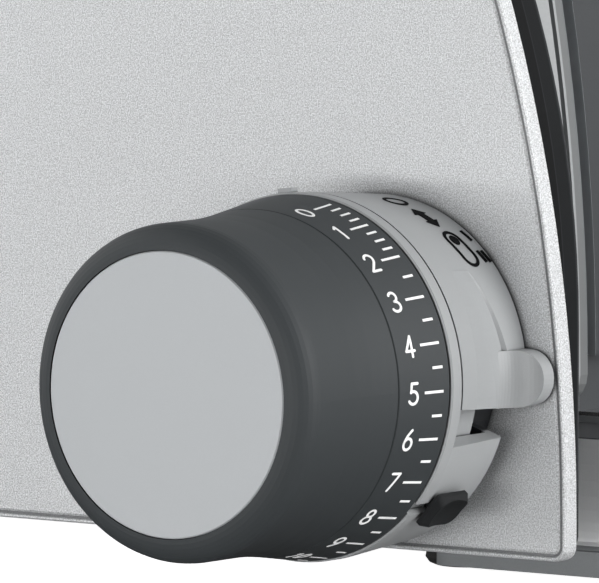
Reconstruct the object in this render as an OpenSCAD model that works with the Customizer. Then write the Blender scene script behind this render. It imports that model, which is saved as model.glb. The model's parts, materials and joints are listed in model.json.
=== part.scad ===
// Electric food slicer, in millimetres.
// X points to the user's right, Y away from the user and Z up. The table is Z = 0.
// Places are first given from the face and the front edge of the side panel, then moved to the middle.

/* [Base] */
// Gap between the table and the base plate
foot_drop = 4; // [3:0.5:8]
// Thickness of the base plate
base_t = 6; // [5:0.5:10]
// Radius of a rubber foot
foot_r = 9; // [7:0.5:11]
// How far the base stands out in front of the housing
base_front = 10; // [8:1:20]
// How far the base stands out behind the housing
base_back = 4; // [3:1:10]
// Distance from the cutting plane to the right edge of the base
base_right = 108; // [104:1:130]
// Distance from the panel face to the left edge of the front slab
slab_x = 25; // [20:1:30]
// Length of the front slab behind the front edge
slab_len = 48; // [46:1:52]
// Distance from the panel face to the console under the stop plate
console_x = 40; // [38:1:44]
// Height of the console above the base plate
console_h = 19.5; // [16:0.5:20]
// Height of the rail block above the base plate
rail_h = 16; // [14.5:0.5:18]
// Wall of the rail block
rail_wall = 3; // [2.5:0.5:4]

/* [Housing] */
// Length of the side panel from front to back
panel_len = 331; // [328:1:350]
// Height of the side panel
panel_h = 209; // [206:1:230]
// Thickness of the side panel
panel_t = 4; // [3:0.5:5]
// Lean of the front edge from the upright
front_lean = 20; // [16:0.5:21]
// Height of the bend in the front edge above the lower edge
bend_up = 66; // [62:0.5:70]
// Radius of the bend in the front edge
front_bend_r = 330; // [280:10:340]
// Radius of the round upper back corner
back_r = 106; // [90:1:110]
// Distance of the seam groove from the panel's edge
seam_in = 1.15; // [0.9:0.05:2]
// Depth of the inner frame behind the panel
frame_depth = 9; // [8.5:0.5:11]
// Wall of the inner frame
frame_wall = 2.8; // [2.2:0.2:3.4]
// Set-back of the inner frame at the bottom of the front edge
frame_set = 5.4; // [4:0.2:8]
// Distance from the panel face to the cutting plane
cut_x = 64; // [63:0.5:70]
// Wall of the gear housing
pod_wall = 2.5; // [2:0.25:3]

/* [Slice outlet] */
// Distance of the arched opening behind the front edge
arch_start = 148; // [140:1:156]
// Length of the arched opening
arch_len = 120; // [100:1:126]
// Height of the arched opening
arch_h = 48; // [40:1:50]

/* [Thickness knob] */
// Distance of the knob axis behind the front edge
knob_y = 42.3; // [41:0.1:44]
// Height of the knob axis above the lower edge of the panel
knob_up = 35.4; // [35:0.1:38]
// Distance from the panel to the face of the knob
knob_reach = 71.2; // [66:0.2:80]
// Radius of the flat cap
cap_r = 27; // [24:0.1:27.5]
// Thickness of the flat cap
cap_t = 1.4; // [1:0.1:2]
// Radius of the grip
grip_r = 31.9; // [31.6:0.1:32.5]
// Length of the grip shell in front of the scale ring
grip_len = 28.4; // [24:0.2:30]
// Length of the scale ring
scale_len = 14; // [13:0.2:16]
// Radius of the scale ring at its narrow end
scale_r0 = 33; // [32.8:0.1:33.6]
// Radius of the scale ring at its wide end
scale_r1 = 35.05; // [34.6:0.05:35.1]
// Wall of the grip shell
shell_wall = 2.6; // [2:0.1:3]
// Turn of the knob for one millimetre of slice, in degrees
deg_per_mm = 15.31; // [14.8:0.01:15.6]
// Greatest slice thickness
slice_max = 20; // [18:0.5:20]
// How far the stop plate closes past the blade
close_past = 1.3; // [1:0.1:1.5]
// Radius of the knob shaft
shaft_r = 6; // [5:0.1:6.4]
// Radius of the thread cam
cam_r = 14; // [12:0.1:14.4]
// Radius of the cam follower pin
follower_r = 2; // [1.6:0.1:2.2]

/* [Switch ring] */
// Radius of the ring where it meets the panel
ring_r0 = 33.7; // [33.2:0.1:34]
// Radius of the ring at its index rim
ring_r1 = 35.4; // [35.2:0.1:35.8]
// Length of the ring up to the index rim
ring_len = 25.1; // [23:0.1:26]
// Thickness of the index rim
rim_t = 3.1; // [2.5:0.1:3.2]
// Wall of the ring
ring_wall = 2.3; // [1.8:0.1:2.6]
// Lower end of the switch lever, in degrees from the top
lever_end = 97.3; // [96:0.1:98]
// Upper end of the fixed lower shell, in degrees from the top
shell_start = 109.3; // [108.5:0.1:112]
// Turn of the switch lever, in degrees
lever_turn = 8; // [5:0.5:8]
// Depth of the thumb scoop in front of the finger lug
scoop_in = 0.9; // [0.5:0.1:1.2]
// Gap between the panel and the fixed lower shell
shell_off = 6.5; // [5:0.5:7]
// Width of the finger lug
lug_w = 10.9; // [9:0.1:12]
// Reach of the finger lug from the knob axis
lug_reach = 40.2; // [38:0.1:42]
// Turn of the lock slider, in degrees
lock_turn = 5; // [4:0.5:6]

/* [Blade] */
// Diameter of the blade
blade_d = 170; // [166:1:172]
// Distance of the blade axis behind the front edge
blade_y = 225; // [223:1:226]
// How far the blade reaches below the carriage floor
blade_dip = 4; // [2:0.5:4.5]
// Number of waves in the cutting edge
blade_waves = 30; // [20:1:36]
// Width of the ground bevel
bevel_w = 6; // [4:0.5:9]
// Radius of the blade shaft
axle_r = 6; // [5:0.1:6.5]
// Gap between the blade and the stop plate
stop_gap = 3; // [2.5:0.5:4]
// Start of the blade guard, in degrees up from the back
guard_from = -55; // [-60:1:-40]
// End of the blade guard, in degrees up from the back
guard_to = 125; // [110:1:128]

/* [Drive] */
// Teeth of the worm wheel
gear_teeth = 48; // [44:1:49]
// Module of the worm wheel
gear_module = 1.25; // [1.2:0.01:1.28]
// Width of the worm wheel
gear_w = 6; // [4:0.5:7]
// Pitch radius of the worm
worm_r = 6.5; // [6:0.1:7]
// Radius of the motor
motor_r = 20; // [18:0.2:20.4]
// Radius of the motor shaft
rotor_shaft_r = 4; // [3:0.1:4.4]
// Radius of the rotor core
core_r = 12; // [10:0.2:12.5]

/* [Stop plate] */
// Thickness of the stop plate
stop_t = 3.5; // [3:0.25:5]
// Thickness of the backing plate
backing_t = 4.5; // [3:0.25:4.75]
// Gap between the stop plate and its backing
backing_gap = 1.5; // [1:0.1:1.8]
// Set-back of the stop plate's front edge at the bottom
stop_front = 37.2; // [35:0.2:38]
// Height of the stop plate's lower edge above the base plate
stop_up = 23.3; // [22.5:0.1:26]
// Height of the stop plate
stop_h = 139; // [125:1:140]
// Radius of the bend in the stop plate's front edge
stop_bend_r = 430; // [300:10:450]
// Lean of the stop plate's front edge at its top
stop_lean = 12.4; // [8:0.2:14]
// Radius of a guide rod
rod_r = 4; // [3:0.1:4.4]

/* [Carriage] */
// Height of the carriage floor above the base plate
carriage_rise = 21.6; // [20.5:0.1:22.4]
// Thickness of the carriage tray
tray_t = 4.4; // [3.8:0.1:4.8]
// Thickness of the steel floor sheet
sheet_t = 0.8; // [0.6:0.1:1.2]
// Length of the carriage
tray_len = 168; // [150:1:180]
// Gap between the cutting plane and the carriage
tray_gap = 2.5; // [2.2:0.1:4]
// Height of the carriage wall above the floor
wall_h = 118; // [90:1:124]
// Thickness of the carriage wall
wall_t = 5; // [4:0.25:6]
// Distance of the wall's face behind the front edge
wall_y = 36.4; // [30:0.2:44]
// Height of the recess under the wall
wall_skirt = 11.5; // [9:0.5:16]
// Radius of the carriage guide rod
guide_r = 5; // [4:0.1:5.4]
// Thickness of the remnant holder's plate
pusher_t = 4; // [3:0.25:6]
// Length of a spike on the remnant holder
spike_len = 7; // [4:0.5:9]

/* [Hidden] */
$fn = 48;

// Running clearance of a shaft in its bore
fit = 0.05;
// Clearance of a piece pressed or dropped into its seat
seat = 0.02;
// Clearance between moving faces
gap = 0.4;

panel_z = foot_drop + base_t;
knob_z = panel_z + knob_up;
floor_z = panel_z + carriage_rise;
blade_r = blade_d / 2;
blade_z = floor_z - blade_dip + blade_r;
right_x = cut_x + base_right;
back_y = panel_len + base_back;
mid_x = (right_x - knob_reach) / 2;
mid_y = (back_y - base_front) / 2;
frame_x = panel_t + frame_wall;
frame_rim_x = panel_t + frame_depth;
stop_travel = slice_max + close_past;
knob_turn = stop_travel * deg_per_mm;

// Plane outlines are lists of [u, v, corner radius, steps in the corner]
function wrap(i, n) = (i + n) % n;
function flat(p) = [p[0], p[1]];
function sum(v, i = 0) = i < len(v) ? v[i] + sum(v, i + 1) : 0;
function turning(p) = sign(sum([for (i = [0:len(p) - 1])
    let (a = p[i], b = p[wrap(i + 1, len(p))]) a[0] * b[1] - b[0] * a[1]]));
function inset(p, d) = let (n = len(p), s = turning(p)) [for (i = [0:n - 1])
    let (a = flat(p[wrap(i - 1, n)]), b = flat(p[i]), c = flat(p[wrap(i + 1, n)]),
        e = (b - a) / norm(b - a), f = (c - b) / norm(c - b),
        m = s * [-e[1], e[0]], k = s * [-f[1], f[0]],
        q = b + d * (m + k) / (1 + m * k),
        outward = s * (e[0] * f[1] - e[1] * f[0]) > 0)
    [q[0], q[1], max(p[i][2] + (outward ? -d : d), 0.05), p[i][3]]];
function rounded(p) = let (n = len(p)) [for (i = [0:n - 1])
    let (a = flat(p[wrap(i - 1, n)]), b = flat(p[i]), c = flat(p[wrap(i + 1, n)]), r = p[i][2],
        u = (a - b) / norm(a - b), v = (c - b) / norm(c - b),
        half = acos(u * v) / 2,
        o = b + (u + v) / norm(u + v) * r / sin(half),
        t = b + u * r / tan(half) - o,
        way = sign(u[1] * v[0] - u[0] * v[1]))
    for (k = [0:p[i][3]]) let (g = way * (180 - 2 * half) * k / p[i][3])
        o + [t[0] * cos(g) - t[1] * sin(g), t[0] * sin(g) + t[1] * cos(g)]];
function box(u0, v0, u1, v1, r) = [[u0, v0, r, 5], [u0, v1, r, 5], [u1, v1, r, 5], [u1, v0, r, 5]];
// Points of a quarter round from angle a to angle b
function arc(o, r, a, b, n = 6) = [for (k = [0:n]) o + r * [cos(a + (b - a) * k / n), sin(a + (b - a) * k / n)]];

// Solid through a list of rings, each wound clockwise as seen from its far end.
// A closed loft joins its last ring to its first, as a rim does, and has no caps.
module loft(rings, closed = false) {
    n = len(rings[0]);
    m = len(rings);
    sides = [for (i = [0:m - (closed ? 1 : 2)]) for (j = [0:n - 1]) let (k = (j + 1) % n, q = (i + 1) % m)
        each [[i * n + j, i * n + k, q * n + k], [i * n + j, q * n + k, q * n + j]]];
    caps = closed ? [] : [[for (j = [n - 1:-1:0]) j], [for (j = [0:n - 1]) (m - 1) * n + j]];
    polyhedron([for (r = rings) each r], concat(sides, caps), convexity = 8);
}
// Band with four corners [radius, height] that winds about Z from angle a to angle b
module helix(corners, a, b, lead, per_turn) {
    n = ceil(abs(b - a) / 360 * per_turn);
    loft([for (i = [0:n]) let (g = a + (b - a) * i / n)
        [for (c = corners) [c[0] * cos(g), c[0] * sin(g), c[1] + lead * (g - a) / 360]]]);
}
module place() translate([-mid_x, -mid_y, 0]) children();
module along_x(x = 0) translate([x, 0, 0]) rotate([90, 0, 90]) children();
module along_y(p) translate(p) rotate([-90, 0, 0]) children();
// Knob frame: Z runs out of the panel, X to the front and Y up
module on_knob() translate([0, knob_y, knob_z]) rotate([90, 0, -90]) children();
// Blade frame: Z runs to the right, X to the back and Y up
module on_blade(x = 0) translate([x, blade_y, blade_z]) rotate([90, 0, 90]) children();
// Revolved sector between two angles taken clockwise from the top, in the knob frame
module sector(from, to) rotate([0, 0, 90 - to]) rotate_extrude(angle = to - from) children();
module tube(r, bore, h) {
    difference() {
        cylinder(r = r, h = h);
        translate([0, 0, -1]) cylinder(r = bore, h = h + 2);
    }
}
module slab(outline, x0, x1) along_x(x0) linear_extrude(x1 - x0) polygon(rounded(outline));
module plank(outline, z0, z1) translate([0, 0, z0]) linear_extrude(z1 - z0) polygon(rounded(outline));

// Side panel and inner frame outlines, as [Y, Z]
panel_top = panel_z + panel_h;
arch_end = arch_start + arch_len;
arch_lean = 12;
arch_z = panel_z + arch_h;
panel_outline = [
    [0, panel_z, 2.8, 5],
    [0, panel_z + bend_up, front_bend_r, 14],
    [(panel_h - bend_up) * tan(front_lean), panel_top, 50, 10],
    [panel_len, panel_top, back_r, 16],
    [panel_len, panel_z, 10, 5],
    [arch_end, panel_z, 4, 4],
    [arch_end - arch_lean, arch_z, 26, 8],
    [arch_start + arch_lean, arch_z, 26, 8],
    [arch_start, panel_z, 4, 4]];
frame_inset = 0.6;
frame_bend_r = 200;
panel_in = inset(panel_outline, frame_inset);
frame_outline = concat([
    [frame_set, panel_in[0][1], 3, 5],
    [frame_set, panel_in[1][1] + (frame_set - panel_in[1][0]) / tan(front_lean), frame_bend_r, 10]],
    [for (i = [2:8]) panel_in[i]]);
function panel_ring(d, x) = [for (q = rounded(inset(panel_outline, d))) [x, q[0], q[1]]];

// Base outline, as [X, Y]
leg_y = arch_end + 8;
leg_x = panel_t + 4;
rail_x = cut_x + 4;
rail_end = back_y - 2;
base_outline = [
    [slab_x, -base_front, 5, 5],
    [slab_x, slab_len, 3, 4],
    [slab_x + 21, slab_len, 3, 4],
    [slab_x + 21, slab_len + 13, 6, 4],
    [rail_x + 2, slab_len + 49, 8, 4],
    [rail_x + 2, leg_y - 12, 8, 4],
    [leg_x, leg_y, 5, 4],
    [leg_x, back_y, 8, 5],
    [right_x, back_y, 8, 5],
    [right_x, -base_front, 8, 5]];
rail_top = panel_z + rail_h;
console_top = panel_z + console_h;
feet = [[slab_x + 18, 5], [slab_x + 33.6, slab_len + 13.2], [right_x - 14, 6], [right_x - 14, back_y - 15],
    [leg_x + 20, back_y - 17]];
stem_r = foot_r * 0.4;
screw_r = 2;
head_r = 3.7;
flange_t = 3;
flange_y = slab_len - 18;
frame_screw_places = [[console_x - 7, flange_y + 4.6], [console_x - 7, flange_y + 12.8], [leg_x + 8, leg_y + 18], [leg_x + 40, back_y - 17]];
rail_screw_places = [[rail_x + 40, 12], [rail_x + 40, rail_end - 14]];
guide_x = rail_x + 17;
guide_z = panel_z + (rail_h - rail_wall) * 0.62;
bearing_w = 13;
// Groove under the lip of the apron, and how far the lip stands behind the slab's edge
lip_gap = 1;
lip_in = 1.2;

module base_plate() {
    color("dimgray") place() difference() {
        plank(base_outline, foot_drop, panel_z);
        translate([slab_x - 1, -base_front - 1, panel_z - lip_gap]) cube([2.6, base_front + slab_len - 2, lip_gap + 1]);
        for (p = feet) translate([p[0], p[1], foot_drop - 1]) cylinder(r = stem_r + seat, h = base_t);
        for (p = concat(frame_screw_places, rail_screw_places)) translate([p[0], p[1], foot_drop - 1]) {
            cylinder(r = screw_r + seat, h = base_t + 2);
            cylinder(r = head_r + seat, h = 1 + base_t * 0.4);
        }
    }
}
module rubber_feet() {
    color("black") place() for (p = feet) translate([p[0], p[1], 0]) rotate_extrude()
        polygon(concat([[0, 0]], [[foot_r - 2, 0], [foot_r - 0.8, 0.5], [foot_r, 1.6], [foot_r - 0.4, foot_drop],
            [stem_r, foot_drop], [stem_r, foot_drop + base_t - 2], [0, foot_drop + base_t - 2]]));
}
module base_screws() {
    head_z = foot_drop + base_t * 0.4;
    color("gray") place() {
        for (p = frame_screw_places) translate([p[0], p[1], head_z - 2.2]) {
            cylinder(r = head_r, h = 2.2);
            cylinder(r = screw_r, h = panel_z + flange_t - 0.4 - head_z + 2.2);
        }
        for (p = rail_screw_places) translate([p[0], p[1], head_z - 2.2]) {
            cylinder(r = head_r, h = 2.2);
            cylinder(r = screw_r, h = panel_z + rail_h * 0.6 - head_z + 2.2);
        }
    }
}
module rail_block() {
    r0 = 6;
    y0 = 2 - base_front;
    outline = box(rail_x, y0, right_x - 2, rail_end, r0);
    slot_w = bearing_w + 3;
    color("lightgray") place() {
        difference() {
            union() {
                difference() {
                    plank(outline, panel_z, rail_top);
                    plank(inset(outline, rail_wall), panel_z - 1, rail_top - 2.5);
                }
                for (p = rail_screw_places) translate([p[0], p[1], panel_z]) cylinder(r = 5, h = rail_h - 1);
            }
            translate([guide_x - slot_w / 2, y0 + rail_wall + 2, panel_z])
                cube([slot_w, rail_end - y0 - 2 * rail_wall - 4, rail_h + 1]);
            along_y([guide_x, y0 + 1.5, guide_z]) cylinder(r = guide_r + seat, h = rail_end - y0 - 3);
            for (p = rail_screw_places) translate([p[0], p[1], panel_z - 1])
                cylinder(r = screw_r + seat, h = 1 + rail_h * 0.6);
        }
        difference() {
            union() {
                plank(box(console_x, y0, rail_x - 2.2, slab_len - 1, 4), panel_z, console_top);
                translate([rail_x - 6, y0 + 8, panel_z]) cube([8, slab_len - y0 - 16, rail_h - 4]);
                console_apron(y0 + 1, flange_y - 0.6);
            }
            plank(box(console_x + rail_wall, y0 + rail_wall, rail_x - 2.2 - rail_wall, slab_len - 1 - rail_wall, 2),
                panel_z - 1, console_top - 2.5);
        }
    }
}
// Hollow slope from the slab up to the console
module console_apron(y0, y1) {
    lip_x = slab_x + lip_in;
    arc_z = console_top - 2;
    curve = [for (k = [0:8]) [lip_x + (console_x - lip_x) * sin(k * 90 / 8),
        arc_z - (arc_z - panel_z - 0.8) * cos(k * 90 / 8)]];
    translate([0, y1, 0]) rotate([90, 0, 0]) linear_extrude(y1 - y0)
        polygon(concat([[console_x + 1, panel_z], [lip_x, panel_z]], curve, [[console_x + 1, arc_z]]));
}
module guide_rod() {
    color("silver") place() along_y([guide_x, 4 - base_front, guide_z]) cylinder(r = guide_r, h = rail_end + base_front - 6);
}

// Places inside the housing
housing_right = cut_x - 10;
motor_x = (frame_x + housing_right - pod_wall) / 2;
gear_r = gear_module * gear_teeth / 2;
motor_z = blade_z + gear_r + worm_r;
hub_r = gear_r + gear_module + 11;
bush_wall = 3;
boss_r = axle_r + bush_wall + 4;
rods = [[80, knob_z + cam_r + 23], [80, panel_z + stop_up + stop_h - 34]];
rod_end_x = cut_x + close_past - stop_t - stop_travel - 0.6;
stud_r = rod_r - 1;
post_y = blade_y - 25;
post_t = 6;
bracket_y0 = blade_y + 20;
bracket_y1 = blade_y + 68;
bracket_t = 3;
bearing_r = rotor_shaft_r + 4;
knob_boss_r = shaft_r + 6.5;
knob_boss_out = 10;
pin_r = 2;
pin_ring_r = 29.5;
pin_angle = 30;
gland_z = panel_z + 28;
gland_r = frame_depth / 2 - 0.9;
pod_y0 = blade_y - 29;
pod_y1 = blade_y + 79;
pod_z0 = motor_z - motor_r - 4.5;
pod_z1 = motor_z + motor_r + 4.5;
bay_y = blade_y + 40;
bay_z = blade_z - 18;
pod_outline = [[pod_y0, pod_z0, 3, 4], [pod_y0, pod_z1, 10, 6], [pod_y1, pod_z1, 10, 6], [pod_y1, bay_z, 8, 6],
    [bay_y, bay_z, 6, 5], [bay_y, pod_z0, 3, 4]];
pod_ears = [[pod_y0 + 12, pod_z1 + 3], [pod_y1 - 18, pod_z1 + 3], [pod_y1 - 14, bay_z - 3],
    [blade_y - hub_r * 0.77, blade_z - hub_r * 0.77]];

module side_panel() {
    face_x = 0.15;
    rim_w = seam_in + 1.65;
    color([0.79, 0.8, 0.81]) place() difference() {
        union() {
            loft([
                panel_ring(seam_in + 0.75, face_x),
                panel_ring(seam_in + 0.2, 0.5),
                panel_ring(seam_in - 0.2, 0.5),
                panel_ring(seam_in - 0.45, 0.1),
                panel_ring(0.4, 0.02),
                panel_ring(0.12, 0.25),
                panel_ring(0, 0.7),
                panel_ring(0, panel_t),
                panel_ring(rim_w, panel_t),
                panel_ring(rim_w, face_x)], closed = true);
            slab(inset(panel_outline, seam_in + 1.1), face_x, panel_t - 1);
        }
        along_x(-1) translate([knob_y, knob_z, 0]) cylinder(r = knob_boss_r + gap, h = panel_t + 2);
        on_knob() translate([0, 0, -panel_t - 1]) pin_slot(panel_t + 2);
    }
}
// Curved slot that the switch pin travels in
module pin_slot(h) {
    room = pin_r + 0.6;
    over = room / pin_ring_r * 180 / PI;
    sector(pin_angle - over, pin_angle + lever_turn + over) translate([pin_ring_r - room, 0]) square([2 * room, h]);
}
module inner_frame() {
    color([0.07, 0.07, 0.075]) place() difference() {
        union() {
            difference() {
                slab(frame_outline, panel_t, frame_rim_x);
                slab(inset(frame_outline, frame_wall), frame_x, frame_rim_x + 1);
            }
            along_x(-knob_boss_out) translate([knob_y, knob_z, 0]) cylinder(r = knob_boss_r, h = frame_x + knob_boss_out);
            along_x(frame_x) translate([blade_y, blade_z, 0]) cylinder(r = boss_r, h = 10);
            translate([frame_x - 0.5, post_y, motor_z - bearing_r - 3])
                cube([motor_x + bearing_r + 3 - frame_x, post_t, 2 * bearing_r + 6]);
            translate([panel_t, flange_y, panel_z]) cube([console_x - 0.5 - panel_t, slab_len - 1 - flange_y, flange_t]);
            translate([panel_t, leg_y + 6, panel_z]) cube([leg_x + 48 - panel_t, back_y - leg_y - 14, flange_t]);
        }
        along_x(-knob_boss_out - 1) translate([knob_y, knob_z, 0])
            cylinder(r = shaft_r + bush_wall + seat, h = frame_x + knob_boss_out + 2);
        on_blade(frame_x) cylinder(r = axle_r + bush_wall + seat, h = 11);
        along_y([motor_x, post_y - 1, motor_z]) cylinder(r = bearing_r + seat, h = post_t + 2);
        for (p = rods) along_x(panel_t - 1) translate([p[0], p[1], 0]) cylinder(r = stud_r + seat, h = frame_wall + 2);
        for (p = frame_screw_places) translate([p[0], p[1], panel_z - 1]) cylinder(r = screw_r + seat, h = flange_t + 2);
        for (p = pod_ears) along_x(panel_t - 1) translate([p[0], p[1], 0]) cylinder(r = screw_r + seat, h = frame_wall + 2);
        on_knob() translate([0, 0, -frame_x - 1]) pin_slot(frame_wall + 2);
        along_y([panel_t + frame_depth / 2, panel_len - 10, gland_z]) cylinder(r = gland_r - 0.7 + seat, h = 12);
    }
}
module gear_housing() {
    bush_r = axle_r + bush_wall;
    color([0.09, 0.09, 0.1]) place() difference() {
        union() {
            slab(pod_outline, frame_x, housing_right);
            on_blade(frame_x) cylinder(r = hub_r, h = housing_right - frame_x);
            for (p = pod_ears) along_x(frame_x) translate([p[0], p[1], 0]) cylinder(r = 5, h = 8);
        }
        difference() {
            union() {
                slab(inset(pod_outline, pod_wall), frame_x - 1, housing_right - pod_wall);
                on_blade(frame_x - 1) cylinder(r = hub_r - pod_wall, h = housing_right - pod_wall - frame_x + 1);
            }
            on_blade(housing_right - 11) cylinder(r = boss_r, h = 12);
        }
        on_blade(housing_right - 12) cylinder(r = bush_r + seat, h = 14);
        for (p = pod_ears) along_x(frame_x - 1) translate([p[0], p[1], 0]) cylinder(r = screw_r + seat, h = 8);
    }
}
module housing_screws() {
    color("gray") place() for (p = pod_ears) along_x(panel_t - 0.8) translate([p[0], p[1], 0]) {
        cylinder(r = head_r - 0.4, h = 0.8);
        cylinder(r = screw_r, h = frame_wall + 7);
    }
}
module shaft_bushes() {
    color("goldenrod") place() {
        on_blade(frame_x) tube(axle_r + bush_wall, axle_r + fit, 10);
        on_blade(housing_right - 11) tube(axle_r + bush_wall, axle_r + fit, 10.5);
    }
}
guard_t = 1.6;
guard_in = blade_r + 3;
guard_out = blade_r + 8;
module blade_guard() {
    depth = cut_x - 0.5 - housing_right;
    hole = axle_r + 10;
    color([0.75, 0.76, 0.77]) place() on_blade(housing_right) difference() {
        rotate_extrude($fn = 120) polygon([[hole, 0], [guard_out, 0], [guard_out, depth - 1], [guard_out - 1, depth],
            [guard_in, depth], [guard_in, guard_t], [hole, guard_t]]);
        rotate([0, 0, guard_to]) rotate_extrude(angle = 360 - guard_to + guard_from)
            translate([hub_r, -1]) square([guard_out, depth + 2]);
    }
}
module knob_bush() {
    color("goldenrod") place() along_x(-knob_boss_out) translate([knob_y, knob_z, 0])
        tube(shaft_r + bush_wall, shaft_r + fit, frame_x + knob_boss_out + 1.5);
}
module guide_rods() {
    color("silver") place() for (p = rods) along_x(0) translate([p[0], p[1], 0]) {
        translate([0, 0, panel_t + 0.2]) cylinder(r = stud_r, h = frame_wall);
        translate([0, 0, frame_x]) cylinder(r = rod_r + 3, h = 1.2);
        translate([0, 0, frame_x]) cylinder(r = rod_r, h = rod_end_x - frame_x);
    }
}

// Motor on its own axis, which runs along Y
module on_motor(y) along_y([motor_x, y, motor_z]) children();
stack_y = bracket_y0 + 14;
stack_len = bracket_y1 - bracket_y0 - bracket_t - 28;
bolt_r = 1.2;
bolt_ring = motor_r - 1.9;
wire_r = 1.6;
wire_ring = core_r + 2.9;
module motor_stator() {
    color("slategray") place() on_motor(stack_y) difference() {
        cylinder(r = motor_r, h = stack_len);
        translate([0, 0, -1]) cylinder(r = core_r + 0.8, h = stack_len + 2);
        for (s = [-1, 1]) translate([0, s * (wire_ring - 0.7), -1]) cylinder(r = wire_r + 1, h = stack_len + 2);
        for (s = [-1, 1]) translate([s * bolt_ring, 0, -1]) cylinder(r = bolt_r + seat, h = stack_len + 2);
    }
}
module motor_windings() {
    color("peru") place() {
        for (s = [0, 1]) on_motor(stack_y + s * stack_len) mirror([0, 0, 1 - s]) rotate_extrude()
            polygon(concat([[wire_ring + wire_r, 0]], arc([wire_ring, 2.6], wire_r, 0, 180, 8), [[wire_ring - wire_r, 0]]));
        for (s = [-1, 1]) on_motor(stack_y - 1) translate([0, s * wire_ring, 0])
            cylinder(r = wire_r - 0.2, h = stack_len + 2);
    }
}
module motor_brackets() {
    color("gray") place() for (y = [bracket_y0, bracket_y1]) difference() {
        union() {
            on_motor(y) cylinder(r = motor_r, h = bracket_t);
            translate([frame_x, y, motor_z - motor_r * 0.7]) cube([motor_x - frame_x, bracket_t, motor_r * 1.4]);
        }
        on_motor(y - 1) cylinder(r = bearing_r + seat, h = bracket_t + 2);
        for (s = [-1, 1]) on_motor(y - 1) translate([s * bolt_ring, 0, 0]) cylinder(r = bolt_r + seat, h = bracket_t + 2);
        on_blade(motor_x - gear_w / 2 - 1.5) cylinder(r = gear_r + gear_module + 1.2, h = gear_w + 3);
    }
}
module motor_bolts() {
    reach = bracket_y1 + bracket_t - bracket_y0;
    color("silver") place() for (s = [-1, 1]) on_motor(bracket_y0 - 1) translate([s * bolt_ring, 0, 0]) {
        cylinder(r = bolt_r, h = reach + 2);
        cylinder(r = bolt_r + 0.9, h = 1);
        translate([0, 0, reach + 1]) cylinder(r = bolt_r + 0.9, h = 1);
    }
}
module motor_bearings() {
    color("goldenrod") place() {
        on_motor(post_y) tube(bearing_r, rotor_shaft_r + fit, post_t);
        for (y = [bracket_y0, bracket_y1]) on_motor(y) tube(bearing_r, rotor_shaft_r + fit, bracket_t + 1);
    }
}
brush_y = bracket_y1 - 7;
collector_r = 7;
module carbon_brushes() {
    color("black") place() for (s = [-1, 1]) translate([motor_x - 2.5, brush_y - 2, motor_z + (s > 0 ? collector_r + gap : -collector_r - gap - 8)]) {
        cube([5, 4, 8]);
        translate([0, 1, s > 0 ? 3 : 1]) cube([5, bracket_y1 - brush_y + 1, 4]);
    }
}
module capacitor() {
    color("steelblue") place() along_x(frame_x) translate([blade_y + 58, blade_z - 5, 0]) cylinder(r = 8, h = 32);
}
module micro_switch() {
    y0 = frame_set + frame_wall + 1;
    color("black") place() {
        translate([frame_x, y0, knob_z + 8]) cube([6, 13, 11]);
        translate([frame_x + 2, y0 + 9.5, knob_z + 18]) cube([2, 2, 2]);
    }
}
module cable_gland() {
    wall_y0 = panel_len - frame_inset - frame_wall;
    color("black") place() along_y([panel_t + frame_depth / 2, wall_y0 - 2, gland_z]) difference() {
        union() {
            cylinder(r = gland_r - 0.7, h = frame_wall + 2.5);
            translate([0, 0, frame_wall + 2]) cylinder(r = gland_r, h = 3);
        }
        translate([0, 0, -1]) cylinder(r = gland_r - 1.5, h = frame_wall + 8);
    }
}

// Thickness knob, in the knob frame
shell_back = knob_reach - grip_len;
scale_front = shell_back - 0.3;
scale_back = scale_front - scale_len;
skirt_r = scale_r0 - 2.8;
cap_seat = knob_reach - cap_t;
edge_r = grip_r - cap_r;
hub_wall = 5;
clip_t = 1.2;
tube_r = 26.5;
module knob_shell() {
    web = cap_seat - 3;
    color([0.27, 0.29, 0.3]) place() on_knob() difference() {
        rotate_extrude($fn = 96) polygon(concat(
            [[shaft_r + seat, web], [shaft_r + seat, cap_seat], [cap_r, cap_seat], [cap_r, knob_reach]],
            arc([cap_r, knob_reach - edge_r], edge_r, 90, 0, 8),
            [[grip_r + 0.1, shell_back + 12], [grip_r + 0.35, shell_back + 7], [scale_r0 - 0.3, shell_back + 2.5],
                [scale_r0, shell_back], [skirt_r, shell_back], [skirt_r, scale_back + 1],
                [skirt_r - 2, scale_back + 1], [skirt_r - 2, shell_back],
                [grip_r - shell_wall, shell_back + 12], [grip_r - shell_wall, web - 4],
                [grip_r - shell_wall - 4, web], [shaft_r + hub_wall, web],
                [shaft_r + hub_wall, shell_back - 2], [shaft_r + seat, shell_back - 2]]));
        translate([0, 0, cap_seat - 1]) cylinder(r = shaft_r + seat, h = 2);
    }
}
module knob_cap() {
    color([0.72, 0.735, 0.745]) place() on_knob() translate([0, 0, cap_seat]) rotate_extrude($fn = 96)
        polygon([[0, 0], [cap_r - 0.15, 0], [cap_r - 0.15, cap_t - 0.25], [cap_r - 0.4, cap_t], [0, cap_t]]);
}
module scale_ring() {
    color([0.25, 0.27, 0.28]) place() on_knob() rotate_extrude($fn = 96)
        polygon([[skirt_r + seat, scale_back], [scale_r1 - 0.2, scale_back], [scale_r1, scale_back + 0.3],
            [scale_r0 + 0.05, scale_front - 0.2], [scale_r0 - 0.2, scale_front], [skirt_r + seat, scale_front]]);
}
module knob_shaft() {
    color("silver") place() on_knob() difference() {
        translate([0, 0, -rod_end_x]) cylinder(r = shaft_r, h = rod_end_x + cap_seat - 3);
        translate([0, 0, cap_seat - 15]) cylinder(r = screw_r + seat, h = 14);
    }
}
module knob_screw() {
    color("gray") place() on_knob() {
        translate([0, 0, cap_seat - 3]) cylinder(r = shaft_r - 0.2, h = 2.6);
        translate([0, 0, cap_seat - 13]) cylinder(r = screw_r, h = 10.5);
    }
}
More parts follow.
